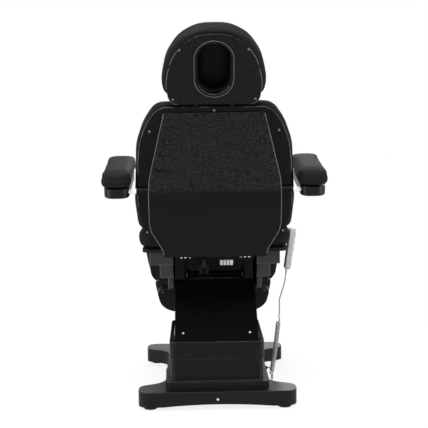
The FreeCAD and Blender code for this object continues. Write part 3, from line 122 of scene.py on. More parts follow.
class Finish:
    """A material with one Principled shader."""

    def __init__(self, name):
        self.material = bpy.data.materials.new(name)
        self.material.use_nodes = True
        self.tree = self.material.node_tree
        self.shader = next(n for n in self.tree.nodes if n.type == "BSDF_PRINCIPLED")
        self.place = self.node("ShaderNodeTexCoord", out="Object")

    def node(self, kind, settings=None, inputs=None, out=0):
        made = self.tree.nodes.new(kind)
        for key, value in (settings or {}).items():
            setattr(made, key, value)
        for key, value in (inputs or {}).items():
            self.feed(made.inputs[key], value)
        return Value(self, made.outputs[out])

    def feed(self, socket, value):
        if isinstance(value, Value):
            self.tree.links.new(value.socket, socket)
        else:
            socket.default_value = value

    def set(self, **values):
        for key, value in values.items():
            self.feed(self.shader.inputs[key.replace("_", " ")], value)
        return self

    def noise(self, scale, detail=2.0):
        inputs = {"Vector": self.place, "Scale": scale, "Detail": detail}
        return self.node("ShaderNodeTexNoise", inputs=inputs, out="Fac")

    def cells(self, scale):
        inputs = {"Vector": self.place, "Scale": scale}
        return self.node("ShaderNodeTexVoronoi", {"feature": "SMOOTH_F1"}, inputs, "Distance")

    def clamped_product(self, first, second):
        settings = {"operation": "MULTIPLY", "use_clamp": True}
        return self.node("ShaderNodeMath", settings, {0: first, 1: second})

    def between(self, mask, dark, light):
        """A colour that goes from dark to light with a mask."""
        inputs = {0: mask, 6: (*dark, 1), 7: (*light, 1)}
        return self.node("ShaderNodeMix", {"data_type": "RGBA"}, inputs, out=2)

    def bump(self, height, distance):
        inputs = {"Height": height, "Distance": distance, "Strength": 1.0}
        return self.set(Normal=self.node("ShaderNodeBump", inputs=inputs))


# %% [markdown]
# The upholstery is black coated fabric: a soft pebble grain about a millimetre across, a satin sheen, and
# slow changes of gloss where hands and backs have polished it. A photographed texture would repeat, so
# cells give the pebbles and broad noise gives the polish. The shine is low, because a black coating seen
# edge-on would turn grey.

# %% Upholstery
PEBBLES, CREASES, POLISH, POLISH_DETAIL = 700.0, 260.0, 9.0, 3.0
PEBBLE_DEPTH, CREASE_SHARE = 0.00035, 0.5
COAT_DARK, COAT_LIGHT = (0.0042, 0.0042, 0.0044), (0.0075, 0.0075, 0.0078)
COAT_ROUGH, COAT_WEAR, COAT_SHINE = 0.58, 0.2, 0.06


def make_upholstery():
    """Coated fabric: its height is pebbles and a share of crease, and its roughness rises with the polish."""
    finish = Finish("black_upholstery")
    pebbles, polish = finish.cells(PEBBLES), finish.noise(POLISH, POLISH_DETAIL)
    finish.set(Base_Color=finish.between(polish, COAT_DARK, COAT_LIGHT))
    finish.set(Roughness=polish * COAT_WEAR + COAT_ROUGH, Specular_IOR_Level=COAT_SHINE)
    return finish.bump(pebbles + finish.noise(CREASES) * CREASE_SHARE, PEBBLE_DEPTH)


print("upholstery pebbles per metre", PEBBLES)

# %% [markdown]
# Plastics, paint and rubber share one recipe. A mould is spark eroded or a coat is sprayed, so the surface
# has a fine even grain, and its tone and gloss drift slowly. Only the numbers differ, so they stand in one
# table.

# %% Plastics, paint and rubber
TONE, TONE_DETAIL, TONE_GLOSS, GRAIN_DETAIL = 7.0, 4.0, 0.12, 3.0
FULL_SHINE = 0.5


def make_grained(name, dark, light, rough, scale, depth, shine=FULL_SHINE):
    """Moulded plastic or paint: fine noise for its height, and broad noise for its tone and gloss."""
    finish = Finish(name)
    grain, tone = finish.noise(scale, GRAIN_DETAIL), finish.noise(TONE, TONE_DETAIL)
    finish.set(Base_Color=finish.between(tone, dark, light))
    finish.set(Roughness=tone * TONE_GLOSS + rough, Specular_IOR_Level=shine)
    return finish.bump(grain, depth)


# Each row: name, dark colour, light colour, roughness, grain per metre, grain depth, and shine if it is low.
GRAINED = {
    "abs_black": ("black_moulding", (0.0022, 0.0022, 0.0023), (0.0042, 0.0042, 0.0043),
                  0.32, 420.0, 0.0003, 0.15),
    "cover_gloss": ("black_cover", (0.0008, 0.0008, 0.0008), (0.0014, 0.0014, 0.0014),
                    0.55, 500.0, 0.00002, 0.02),
    "steel_dark": ("black_powder_coat", (0.0016, 0.0016, 0.0017), (0.0034, 0.0034, 0.0035),
                   0.45, 600.0, 0.00012, 0.08),
    "steel_light": ("pale_enamel", (0.62, 0.63, 0.64), (0.70, 0.71, 0.72), 0.3, 500.0, 0.00004),
    "rubber": ("black_rubber", (0.006, 0.006, 0.006), (0.011, 0.011, 0.011), 0.7, 700.0, 0.0002, 0.2),
    "plastic_grey": ("grey_moulding", (0.33, 0.335, 0.34), (0.38, 0.385, 0.39), 0.38, 900.0, 0.0001),
    "button_dark": ("dark_key", (0.07, 0.075, 0.085), (0.10, 0.105, 0.115), 0.42, 900.0, 0.0001),
    "plastic_white": ("white_plug", (0.42, 0.42, 0.41), (0.5, 0.5, 0.49), 0.4, 700.0, 0.00008),
    "cord_grey": ("cord_jacket", (0.20, 0.205, 0.21), (0.27, 0.275, 0.28), 0.45, 800.0, 0.00008),
}
print("plastics, paint and rubber", len(GRAINED))

# %% [markdown]
# The shells on the back, the headrest, the skirt and the leg trays have a coarse crepe grain. On the back
# it covers only the upper half of the raised panel, so a mask fades it out below a height and in front of a
# plane. Noise stretched to full contrast raises the crests and paints them paler than the hollows: a painted
# highlight on the crests, where light would catch the grain.

# %% Crepe shells
CREPE_LOW, CREPE_HIGH = 0.42, 0.66
CREPE_DARK, CREPE_CREST_HIGHLIGHT = (0.0024, 0.0024, 0.0025), (0.013, 0.013, 0.0135)
CREPE_ROUGH, CREPE_WEAR, CREPE_SHINE, CREPE_DEPTH = 0.3, 0.2, 0.1, 0.0009
FINE_GRAIN, FINE_SHARE = 900.0, 0.06
FOOT_FADE, PLANE_FADE = 60.0, 400.0
EVERYWHERE_ABOVE, EVERYWHERE_BEHIND = -1.0, 9.0
GRAIN_FOOT, GRAIN_BEHIND = 0.815, 0.024
GRAIN_PLANE = float(BACK_HINGE @ np.array(leaning(BACK_LEAN))) - GRAIN_BEHIND


def make_crepe(name, scale, strength, foot=EVERYWHERE_ABOVE, proud=EVERYWHERE_BEHIND):
    """Moulded plastic with crepe grain above a height and behind a plane square to the back, else smooth; the
    crests are painted paler as a highlight.
    """
    finish = Finish(name)
    height = finish.node("ShaderNodeSeparateXYZ", inputs={"Vector": finish.place}, out="Z")
    depth = finish.node("ShaderNodeVectorMath", {"operation": "DOT_PRODUCT"},
                        {0: finish.place, 1: leaning(BACK_LEAN)}, out="Value")
    upper = finish.clamped_product(height - foot, FOOT_FADE)
    raised = finish.clamped_product(proud - depth, PLANE_FADE)
    stretch = {"Value": finish.noise(scale, GRAIN_DETAIL), "From Min": CREPE_LOW, "From Max": CREPE_HIGH}
    crepe = finish.node("ShaderNodeMapRange", inputs=stretch) * upper * raised * strength
    # The crests are painted paler than the hollows: a painted highlight on the grain.
    finish.set(Base_Color=finish.between(crepe, CREPE_DARK, CREPE_CREST_HIGHLIGHT))
    finish.set(Roughness=CREPE_ROUGH + crepe * CREPE_WEAR, Specular_IOR_Level=CREPE_SHINE)
    return finish.bump(crepe + finish.noise(FINE_GRAIN) * FINE_SHARE, CREPE_DEPTH)


print("crepe on the back starts at a height of", GRAIN_FOOT, "m")

# %% [markdown]
# Screws and nuts are plated steel, and the panel under the seat is a raw board with long streaks. Metal
# needs a metallic shader, and the board needs noise that is stretched along its length, so each has a
# recipe of its own.

# %% Metals and board
DRAWN_GRAIN, DRAWN_DETAIL, DRAWN_GLOSS, DRAWN_DEPTH = 420.0, 4.0, 0.15, 0.00006
STREAK_STRETCH, STREAKS, STREAK_DETAIL, STREAK_DEPTH = (4.0, 60.0, 60.0), 5.0, 6.0, 0.0002
BOARD_DARK, BOARD_LIGHT, BOARD_ROUGH, BOARD_SHINE = (0.004, 0.0035, 0.003), (0.009, 0.008, 0.007), 0.7, 0.1


def make_metal(name, dark, light, rough):
    """Plated steel: a fine drawn grain that changes the gloss."""
    finish = Finish(name)
    grain = finish.noise(DRAWN_GRAIN, DRAWN_DETAIL)
    finish.set(Base_Color=finish.between(grain, dark, light))
    finish.set(Roughness=grain * DRAWN_GLOSS + rough, Metallic=1.0)
    return finish.bump(grain, DRAWN_DEPTH)


def make_board():
    """Raw panel under the seat: noise on coordinates that are squeezed across the grain."""
    finish = Finish("seat_panel")
    squeezed = finish.node("ShaderNodeMapping", inputs={"Vector": finish.place, "Scale": STREAK_STRETCH})
    inputs = {"Vector": squeezed, "Scale": STREAKS, "Detail": STREAK_DETAIL}
    streaks = finish.node("ShaderNodeTexNoise", inputs=inputs, out="Fac")
    finish.set(Base_Color=finish.between(streaks, BOARD_DARK, BOARD_LIGHT))
    finish.set(Roughness=BOARD_ROUGH, Specular_IOR_Level=BOARD_SHINE)
    return finish.bump(streaks, STREAK_DEPTH)


print("streaks are", STREAK_STRETCH[1] / STREAK_STRETCH[0], "times as long as wide")

# %% [markdown]
# A node's slot says what it is made of, and that picks its finish. A few nodes look different from the rest
# of their slot: the grained shells, the steps under the seat, painted grey as a painted reflection of the
# lit floor, the blackened screws and the dark posts.

# %% Finish every CAD node
FINISHES = {slot: make_grained(*row) for slot, row in GRAINED.items()}
FINISHES["leather_black"] = make_upholstery()
FINISHES["zinc"] = make_metal("zinc_plate", (0.62, 0.62, 0.60), (0.80, 0.80, 0.78), 0.25)
FINISHES["wood_board"] = make_board()
# The black steps under the seat are painted mid-grey: a painted reflection of the bright floor and side lamps.
SKIRT_PAINTED_LIGHT = make_grained("seat_skirt_painted_light", (0.018, 0.018, 0.0185), (0.03, 0.03, 0.031),
                        0.35, 420.0, 0.0002, 0.15)
BLACK_SCREW = make_metal("black_screw", (0.10, 0.10, 0.10), (0.22, 0.22, 0.22), 0.2)
# A lighter finish for rounded edges and beads: a painted highlight in place of light caught by small rounds.
EDGE_HIGHLIGHT = make_grained("painted_edge_highlight", (0.03, 0.03, 0.03), (0.1, 0.1, 0.1), 0.25, 30.0, 0.00003, 0.3)
OWN_FINISHES = {
    "back_shell": make_crepe("crepe_back", 165.0, 1.0, GRAIN_FOOT, GRAIN_PLANE),
    "headrest_shell": make_crepe("crepe_headrest", 230.0, 0.5),
    "base_skirt": make_crepe("crepe_skirt", 200.0, 0.45),
    "legrest_shell": make_crepe("crepe_leg", 260.0, 0.5),
    "footrest_shell": make_crepe("crepe_foot", 260.0, 0.5),
    "seat_skirt_left": SKIRT_PAINTED_LIGHT, "seat_skirt_right": SKIRT_PAINTED_LIGHT,
    "back_shell_screws": BLACK_SCREW, "headrest_screws": BLACK_SCREW, "arm_cover_screws": BLACK_SCREW,
    "headrest_posts": FINISHES["steel_dark"],
}


def finish_of(node):
    """A node's own finish, or else that of its slot."""
    return OWN_FINISHES.get(node, FINISHES[NODE_SLOT[node]]).material


for name, node in frame["nodes"].items():
    node.data.materials.clear()
    node.data.materials.append(finish_of(name))
print("finished nodes", len(frame["nodes"]), "of them with a finish of their own", len(OWN_FINISHES))

# %% [markdown]
# Later steps read and write whole arrays of points, take a mesh with its modifiers applied, and add named
# pieces that ride on a body. These helpers do that and nothing else.

# %% Meshes as arrays
WELD = 1e-5


def vertex_values(mesh, key):
    """One vector for each vertex of a mesh, as rows."""
    flat = np.empty(len(mesh.vertices) * 3, np.float32)
    mesh.vertices.foreach_get(key, flat)
    return flat.reshape(-1, 3).astype(float)


def mesh_points(mesh):
    """The place of each vertex."""
    return vertex_values(mesh, "co")


def point_normals(mesh):
    """The outward direction at each vertex."""
    return vertex_values(mesh, "normal")


def put_points(mesh, points):
    """Moves each vertex to its row."""
    mesh.vertices.foreach_set("co", np.ascontiguousarray(points, np.float32).ravel())
    mesh.update()


def evaluated(piece):
    """The mesh of a piece with its modifiers applied."""
    graph = bpy.context.evaluated_depsgraph_get()
    return bpy.data.meshes.new_from_object(piece.evaluated_get(graph))


def surface_of(name):
    """A tree that finds points on a piece's surface, with its modifiers applied."""
    return BVHTree.FromObject(bpy.data.objects[name], bpy.context.evaluated_depsgraph_get())


def add_piece(name, mesh, slot, body=None):
    """A named piece with a finish; it rides on a body if one is given."""
    piece = bpy.data.objects.new(name, mesh)
    scene.collection.objects.link(piece)
    mesh.materials.clear()
    mesh.materials.append(FINISHES[slot].material)
    mesh.polygons.foreach_set("use_smooth", np.ones(len(mesh.polygons), bool))
    if body:
        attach(piece, body)
    return piece


print("largest node", max(len(node.data.vertices) for node in frame["nodes"].values()), "points")

# %% [markdown]
# A CAD cushion is a block with a crown. The real one is foam under a tight skin. It could be sculpted, or
# rounded by a bevel, but foam rounds each edge by as much as its skin allows. So a copy of the block is
# remeshed, drawn in a little and blown up as cloth, with the swelling capped. It is then settled, fitted to
# the block again and tucked along its seam.

# %% Cushions
VOXEL, DRAW_IN, SWELL_CAP = 0.006, 0.001, 0.006
SMOOTH_SHARE, REMESH_SETTLE, SETTLE = 0.5, 4, 6
SIM_FRAMES, SKIN_PRESSURE, SKIN_MASS, SKIN_STIFFNESS, SIM_QUALITY = 20, 4.0, 0.3, 20.0, 4
TUCK_DEPTH, TUCK_WIDTH = 0.0035, 0.006
NO_MOVE = 1e-9
SEAM_SHARES = {"seat_cushion": 0.72, "back_cushion": 0.62, "headrest_cushion": 0.45, "legrest_cushion": 0.66,
               "footrest_cushion": 0.66, "armrest_left_pad": 0.62, "armrest_right_pad": 0.62}
FILLS = {"seat_cushion": 0.7, "back_cushion": 0.7, "headrest_cushion": 0.75, "legrest_cushion": 0.7,
         "footrest_cushion": 0.7, "armrest_left_pad": 0.75, "armrest_right_pad": 0.75, "face_plug": 0.75}
CROWNS = {"seat_cushion": (0.0, 0.0, 1.0), "back_cushion": leaning(BACK_LEAN),
          "headrest_cushion": leaning(HEAD_LEAN), "face_plug": leaning(HEAD_LEAN),
          "legrest_cushion": LEG_UP, "footrest_cushion": LEG_UP,
          "armrest_left_pad": upright(ARM_LEAN), "armrest_right_pad": upright(ARM_LEAN)}


def smoothed(piece, times):
    """Draws each point half way to the middle of its neighbours, a number of times."""
    smooth = piece.modifiers.new("smooth", "SMOOTH")
    smooth.factor, smooth.iterations = SMOOTH_SHARE, times
    piece.data = evaluated(piece)
    piece.modifiers.clear()


def remeshed_copy(node):
    """A welded copy of a node's block, on an even net of points."""
    mesh = frame["nodes"][node].data.copy()
    work = bmesh.new()
    work.from_mesh(mesh)
    bmesh.ops.remove_doubles(work, verts=work.verts, dist=WELD)
    bmesh.ops.recalc_face_normals(work, faces=work.faces)
    work.to_mesh(mesh)
    work.free()
    piece = bpy.data.objects.new(node + "_form", mesh)
    scene.collection.objects.link(piece)
    remesh = piece.modifiers.new("remesh", "REMESH")
    remesh.mode, remesh.voxel_size = "VOXEL", VOXEL
    smoothed(piece, REMESH_SETTLE)
    return piece


def swollen(piece):
    """The points after the skin is blown up, moved at most the cap from where they were."""
    rest = mesh_points(piece.data)
    cloth = piece.modifiers.new("skin", "CLOTH")
    settings = cloth.settings
    settings.quality, settings.mass = SIM_QUALITY, SKIN_MASS
    settings.tension_stiffness = settings.compression_stiffness = SKIN_STIFFNESS
    settings.use_pressure, settings.uniform_pressure_force = True, SKIN_PRESSURE
    settings.effector_weights.gravity = 0.0
    cloth.point_cache.frame_start, cloth.point_cache.frame_end = 1, SIM_FRAMES
    for number in range(1, SIM_FRAMES + 1):
        scene.frame_set(number)
    moved = mesh_points(evaluated(piece)) - rest
    piece.modifiers.clear()
    scene.frame_set(1)
    length = np.linalg.norm(moved, axis=1, keepdims=True)
    print(piece.name, "moved at most", round(float(length.max()) * 1000, 1), "mm")
    return rest + moved * np.minimum(1.0, SWELL_CAP / np.maximum(length, NO_MOVE))


def fitted(points, node):
    """The points stretched along the pad's own three directions to the box of the pad's CAD block."""
    crown = np.array(CROWNS[node])
    axes = np.stack([ACROSS, crown, np.cross(ACROSS, crown)])
    block, loose = mesh_points(frame["nodes"][node].data) @ axes.T, points @ axes.T
    share = (loose - loose.min(0)) / (loose.max(0) - loose.min(0))
    return (block.min(0) + share * (block.max(0) - block.min(0))) @ axes


def tucked(mesh, node):
    """The points drawn in round a seam, by depth * exp(-(d / width)^2) at a distance d from its plane."""
    points, normals = mesh_points(mesh), point_normals(mesh)
    depth = points @ np.array(CROWNS[node])
    level = depth.min() + SEAM_SHARES[node] * (depth.max() - depth.min())
    return points - normals * (TUCK_DEPTH * np.exp(-((depth - level) / TUCK_WIDTH) ** 2))[:, None]


def make_cushion(node):
    """The skin of one cushion, in place of its CAD block."""
    form = remeshed_copy(node)
    put_points(form.data, mesh_points(form.data) - point_normals(form.data) * DRAW_IN)
    put_points(form.data, swollen(form))
    smoothed(form, SETTLE)
    put_points(form.data, fitted(mesh_points(form.data), node))
    if node in SEAM_SHARES:
        put_points(form.data, tucked(form.data, node))
    mesh = form.data
    bpy.data.objects.remove(form)
    piece = add_piece(node + "_skin", mesh, "leather_black", NODE_BODY[node])
    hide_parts(node)
    print(node, "points", len(mesh.vertices))
    return piece


cushions = {node: make_cushion(node) for node, fill in FILLS.items()}

# %% [markdown]
# Where two panels of skin meet, the machine leaves a raised seam that runs round the cushion. It could be a
# bump in the finish, but then it would vanish from the outline. So the skin is cut by a plane, the furthest
# point is kept in each direction from the middle, and a thin tube is carried along that ring.

# %% Seams
SEAM_RADIUS, SEAM_DIRECTIONS, SEAM_SINK, TRIM_SIDES = 0.0016, 360, 0.0004, 8
FIRST_SIDE = (0.3, 0.5, 0.8)


def carried_sides(ahead):
    """A side direction at each point, carried along the path without twist."""
    side = np.cross(ahead[0], FIRST_SIDE)
    sides = []
    for way in ahead:
        side = side - way * side.dot(way)
        side = side / np.linalg.norm(side)
        sides.append(side)
    return np.array(sides)


def tube(points, radius, sides, closed):
    """A circle carried along a path: point + radius * (cos a * side + sin a * third), square to the path."""
    points, count = np.asarray(points), len(points)
    ahead = np.roll(points, -1, 0) - np.roll(points, 1, 0)
    if not closed:
        ahead[0], ahead[-1] = points[1] - points[0], points[-1] - points[-2]
    ahead /= np.linalg.norm(ahead, axis=1, keepdims=True)
    side = carried_sides(ahead)
    third = np.cross(ahead, side)
    angle = np.linspace(0, 2 * np.pi, sides, endpoint=False)[None, :, None]
    rings = points[:, None] + radius * (np.cos(angle) * side[:, None] + np.sin(angle) * third[:, None])
    i, j = np.meshgrid(np.arange(count if closed else count - 1), np.arange(sides), indexing="ij")
    k, l = (i + 1) % count, (j + 1) % sides
    quads = np.stack([i * sides + j, i * sides + l, k * sides + l, k * sides + j], -1).reshape(-1, 4).tolist()
    if not closed:
        quads += [list(range(sides))[::-1], list(range((count - 1) * sides, count * sides))]
    mesh = bpy.data.meshes.new("tube")
    mesh.from_pydata(rings.reshape(-1, 3).tolist(), [], quads)
    return mesh


def ring_round(mesh, normal, level):
    """The outer line of a mesh on the plane square to a normal at a level: the furthest point each way."""
    work = bmesh.new()
    work.from_mesh(mesh)
    whole = work.verts[:] + work.edges[:] + work.faces[:]
    cut = bmesh.ops.bisect_plane(work, geom=whole, plane_co=normal * level, plane_no=normal)
    ring = np.array([v.co for v in cut["geom_cut"] if isinstance(v, bmesh.types.BMVert)])
    work.free()
    across = np.array(ACROSS)
    upward = np.cross(normal, across)
    middle = (ring.min(0) + ring.max(0)) / 2
    u, v = (ring - middle) @ across, (ring - middle) @ upward
    bins = ((np.arctan2(v, u) + np.pi) / (2 * np.pi) * SEAM_DIRECTIONS).astype(int) % SEAM_DIRECTIONS
    reach = np.zeros(SEAM_DIRECTIONS)
    np.maximum.at(reach, bins, np.hypot(u, v))
    known = np.flatnonzero(reach)
    reach = np.interp(np.arange(SEAM_DIRECTIONS), known, reach[known], period=SEAM_DIRECTIONS)
    reach = (np.roll(reach, 1) + reach + np.roll(reach, -1)) / 3 - SEAM_SINK
    angle = (np.arange(SEAM_DIRECTIONS) + 0.5) / SEAM_DIRECTIONS * 2 * np.pi - np.pi
    path = middle + (reach * np.cos(angle))[:, None] * across + (reach * np.sin(angle))[:, None] * upward
    return path + normal * (level - path @ normal)[:, None]


def seam(node, share, normal):
    """A tube round a cushion, on the plane at a share of its depth along a normal."""
    mesh, normal = cushions[node].data, np.array(normal, float)
    depth = mesh_points(mesh) @ normal
    path = ring_round(mesh, normal, depth.min() + share * (depth.max() - depth.min()))
    ring = tube(path, SEAM_RADIUS, TRIM_SIDES, True)
    made = add_piece(node + "_seam", ring, "leather_black", NODE_BODY[node])
    print(made.name, "round", round(float(np.linalg.norm(np.diff(path, axis=0), axis=1).sum()), 3), "m")


for node, share in SEAM_SHARES.items():
    seam(node, share, CROWNS[node])

# %% [markdown]
# The handset's cord is a curly one. Its route is one smooth curve: out of the socket in the base, down,
# round the bottom and up to the handset. The curls are a helix round that curve. At both ends of the coil
# the helix opens out slowly and turns slowly, as the real wire does where it leaves the coil, so no bend is
# tighter than the coil.

# %% Handset cord
# Places measured from the base's centre move back by this much, to the frame's origin.
ORIGIN_Y = 0.01764
CORD_DIAMETER, CORD_SIDES, ROUTE_STEP, CORD_STEP = 0.005, 10, 0.0004, 0.002
CURL_RADIUS, CURL_PITCH, CURL_LOW, CURL_HIGH = 0.0077, 0.0062, 0.017, 0.272
CURL_EASE, EASY_TURN, WIND_START, WIND_SPAN = 0.022, 0.18, 0.85, 0.45
ROUTE_ORDER, ROUTE_RESOLUTION = 3, 24
ROUTE = [(0.214, -0.0075, 0.0595), (0.231, -0.0085, 0.0595), (0.233, -0.030, 0.044), (0.233, -0.031, 0.013),
         (0.230, 0.0, 0.012), (0.2325, 0.0005, 0.045), (0.2405, 0.0, 0.0905), (0.2525, 0.0005, 0.176),
         (0.262, 0.0, 0.262), (0.2665, 0.003, 0.285), (0.2665, 0.0055, 0.318), (0.266, 0.007, 0.345),
         (0.283, 0.022, 0.385), (0.2925, 0.0265, 0.421), (0.296, 0.027, 0.4486)]


def route_points():
    """Points along the NURBS curve whose control points are the route."""
    curve = bpy.data.curves.new("route", "CURVE")
    curve.dimensions = "3D"
    spline = curve.splines.new("NURBS")
    spline.points.add(len(ROUTE) - 1)
    for point, (x, y, z) in zip(spline.points, ROUTE):
        point.co = (x, y - ORIGIN_Y, z, 1)
    spline.order_u, spline.use_endpoint_u, spline.resolution_u = ROUTE_ORDER, True, ROUTE_RESOLUTION
    holder = bpy.data.objects.new("route", curve)
    scene.collection.objects.link(holder)
    points = mesh_points(evaluated(holder))
    bpy.data.objects.remove(holder)
    return points


def along(points, step):
    """The same line, with points at an even step."""
    run = np.concatenate([[0], np.cumsum(np.linalg.norm(np.diff(points, axis=0), axis=1))])
    even = np.linspace(0, run[-1], int(run[-1] / step) + 1)
    return even, np.stack([np.interp(even, run, points[:, k]) for k in range(3)], 1)


def eased(share):
    """A smooth step: 3 s squared less 2 s cubed, for a share s held between 0 and 1."""
    share = np.clip(share, 0, 1)
    return share * share * (3 - 2 * share)


def curled(run, axis):
    """A helix round the axis between two heights: axis + radius * (cos a * side + sin a * third)."""
    bottom = run[np.argmin(axis[:, 2])]
    low, high = (run[np.argmin(np.abs(axis[:, 2] - z) + (run < bottom))] for z in (CURL_LOW, CURL_HIGH))
    inside = np.minimum(run - low, high - run) / CURL_EASE
    radius = CURL_RADIUS * eased(inside)
    wound = eased((inside - WIND_START) / WIND_SPAN)
    rate = 2 * np.pi / CURL_PITCH * (EASY_TURN + (1 - EASY_TURN) * wound)
    angle = np.cumsum(rate) * (run[1] - run[0])
    ahead = np.gradient(axis, axis=0)
    ahead /= np.linalg.norm(ahead, axis=1, keepdims=True)
    side = carried_sides(ahead)
    third = np.cross(ahead, side)
    print("turns in the coil", round(float(np.ptp(angle[radius > 0])) / (2 * np.pi), 1))
    return axis + radius[:, None] * (np.cos(angle)[:, None] * side + np.sin(angle)[:, None] * third)


run, axis = along(route_points(), ROUTE_STEP)
cord_run, cord_path = along(curled(run, axis), CORD_STEP)
cord = add_piece("handset_cord", tube(cord_path, CORD_DIAMETER / 2, CORD_SIDES, False), "cord_grey")
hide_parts("cord_curl", "cord_lead")
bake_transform(cord)
print("cord", round(float(cord_run[-1]), 3), "m")

# %% [markdown]
# Moulded covers have no sharp edges: each edge is a small round that catches the light as a thin bright
# line. The CAD covers are left sharp. They could be rounded there, but rounds this small only slow the
# solids down. So each visible one is copied, its triangles are joined into flat faces, and a bevel rounds it.
# The bevel's faces get a lighter finish, a painted highlight that draws that thin bright line.

# %% Rounded covers
FLAT_ANGLE, EDGE_ANGLE, ROUND_SEGMENTS, ROUND_SLOT = math.radians(0.6), math.radians(32.0), 3, 1
COVER_ROUNDS = {"base_skirt": 0.005, "seat_skirt_left": 0.004, "seat_skirt_right": 0.004,
                "arm_cover": 0.0022, "back_shell": 0.0018, "legrest_shell": 0.003,
                "footrest_shell": 0.003, "headrest_shell": 0.0024}


def rounded_cover(node, width):
    """A copy of a cover in flat faces, with its edges rounded to a width by a bevel."""
    mesh = frame["nodes"][node].data.copy()
    work = bmesh.new()
    work.from_mesh(mesh)
    bmesh.ops.remove_doubles(work, verts=work.verts, dist=WELD)
    bmesh.ops.dissolve_limit(work, angle_limit=FLAT_ANGLE, verts=work.verts, edges=work.edges)
    work.to_mesh(mesh)
    work.free()
    piece = add_piece(node + "_moulding", mesh, NODE_SLOT[node], NODE_BODY[node])
    mesh.materials[0] = finish_of(node)
    # The bevel's faces take this second slot, so each rounded edge carries a painted highlight.
    mesh.materials.append(EDGE_HIGHLIGHT.material)
    bevel = piece.modifiers.new("round", "BEVEL")
    bevel.width, bevel.segments, bevel.material = width, ROUND_SEGMENTS, ROUND_SLOT
    bevel.limit_method, bevel.angle_limit = "ANGLE", EDGE_ANGLE
    bevel.harden_normals = True
    piece.modifiers.new("normals", "WEIGHTED_NORMAL").keep_sharp = True
    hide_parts(node)
    print(piece.name, "faces", len(mesh.polygons))


for node, width in COVER_ROUNDS.items():
    rounded_cover(node, width)

# %% [markdown]
# The raised panel of the back has a fine rib along each side. Its corners are known from the panel, as
# width, height and depth from the back's hinge. A straight tube between them would sink into the panel's
# curve, so the line is laid on the shell's surface point by point.

# %% Panel ribs
RIB_RADIUS, RIB_STEP = 0.0014, 0.006
RIB_CORNERS = np.array([(0.184, 0.556, -0.031), (0.231, 0.365, -0.052), (0.243, 0.312, -0.058),
                        (0.246, 0.262, -0.064), (0.246, 0.205, -0.072), (0.246, 0.140, -0.061),
                        (0.240, 0.106, -0.055), (0.206, 0.041, -0.044), (0.197, 0.010, -0.039)])


def bead(name, path, closed, body):
    """A tube along a path, in a lighter finish that is a painted highlight."""
    piece = add_piece(name, tube(path, RIB_RADIUS, TRIM_SIDES, closed), "abs_black", body)
    piece.data.materials[0] = EDGE_HIGHLIGHT.material
    return piece


back_surface = surface_of("back_shell_moulding")
for hand, sign in (("left", -1), ("right", 1)):
    ways = np.stack([np.multiply(ACROSS, sign), upright(BACK_LEAN), leaning(BACK_LEAN)])
    _, line = along(BACK_HINGE + RIB_CORNERS @ ways, RIB_STEP)
    laid = np.array([back_surface.find_nearest(Vector(point))[0] for point in line])
    # Each rib is drawn in the lighter finish, a painted highlight along the side of the panel.
    rib = bead("back_rib_" + hand, laid, False, "back")
    off = np.linalg.norm(laid - line, axis=1).max()
    print(rib.name, "furthest from its line", round(float(off) * 1000, 1), "mm")

# %% [markdown]
# The flange of the back's shell and the headrest's shell each end in a bead, which is the outer line of the
# shell on one plane. The back's bead stops where its flange does. The collar of the face hole has a bead
# too: a long round, which is a circle pulled apart by a straight run. Each bead, like each rib, is drawn in
# the lighter finish as a painted highlight.

# %% Beads on the shells
BACK_BEAD, HEAD_BEAD, FLANGE_FOOT = 0.0178, 0.0318, 0.09
COLLAR_HALF, COLLAR_STRAIGHT, COLLAR_UP, COLLAR_DEEP, COLLAR_POINTS = 0.0705, 0.035, 0.130, 0.0352, 96


def outer_line(node, hinge, degrees, deep):
    """The outer line of a leaning shell on a plane behind its hinge, and how high its points are over it."""
    normal = np.array(leaning(degrees))
    path = ring_round(frame["nodes"][node].data, normal, float(hinge @ normal) - deep)
    return path, (path - hinge) @ np.cross(ACROSS, normal)


def long_round():
    """The collar's line: x = half * cos t, and up = half * sin t, moved up or down by the straight run."""
    turn = np.linspace(0, 2 * np.pi, COLLAR_POINTS, endpoint=False)
    wide = COLLAR_HALF * np.cos(turn)
    high = COLLAR_STRAIGHT * np.sign(np.sin(turn)) + COLLAR_HALF * np.sin(turn) + COLLAR_UP
    middle = HEAD_HINGE - COLLAR_DEEP * np.array(leaning(HEAD_LEAN))
    return middle + wide[:, None] * np.array(ACROSS) + high[:, None] * np.cross(ACROSS, leaning(HEAD_LEAN))


flange, heights = outer_line("back_shell", BACK_HINGE, BACK_LEAN, BACK_BEAD)
lowest = int(np.argmin(heights))
flange, heights = np.roll(flange, -lowest, 0), np.roll(heights, -lowest)
bead("back_shell_bead", flange[heights > FLANGE_FOOT], False, "back")
bead("headrest_shell_bead", outer_line("headrest_shell", HEAD_HINGE, HEAD_LEAN, HEAD_BEAD)[0], True, "head")
bead("headrest_hole_bead", long_round(), True, "head")
print("bead of the back", int((heights > FLANGE_FOOT).sum()), "points")

# %% [markdown]
# A few small fasteners show under the seat and on the leg rest's trays. Each is a profile turned round an
# axis: a pan head is half a lens, and a nut is the same lathe with six sides. The tray's screws are set
# where a ray from behind meets the tray, so that they sit on it.

# %% Small fasteners
PAN_HEAD = [(0.0045, -0.001), (0.0045, 0.0006), (0.0040, 0.0016), (0.0028, 0.0023), (0.0012, 0.0026)]
NUT = [(0.0045, -0.001), (0.0045, 0.004), (0.0038, 0.0045), (0.0022, 0.0045), (0.0022, 0.008)]
HEAD_SIDES, NUT_SIDES, RAY_LENGTH = 16, 6, 0.3
NUT_X, RAIL_REAR, RAIL_MIDDLE = (0.098, 0.115, 0.131), -0.205 - ORIGIN_Y, 0.558
TRAY_SCREWS = (("legrest", 0.2486, 0.232), ("footrest", 0.231, 0.302))
REARWARD, UNDER_LEG = (0, -1, 0), tuple(-part for part in LEG_UP)


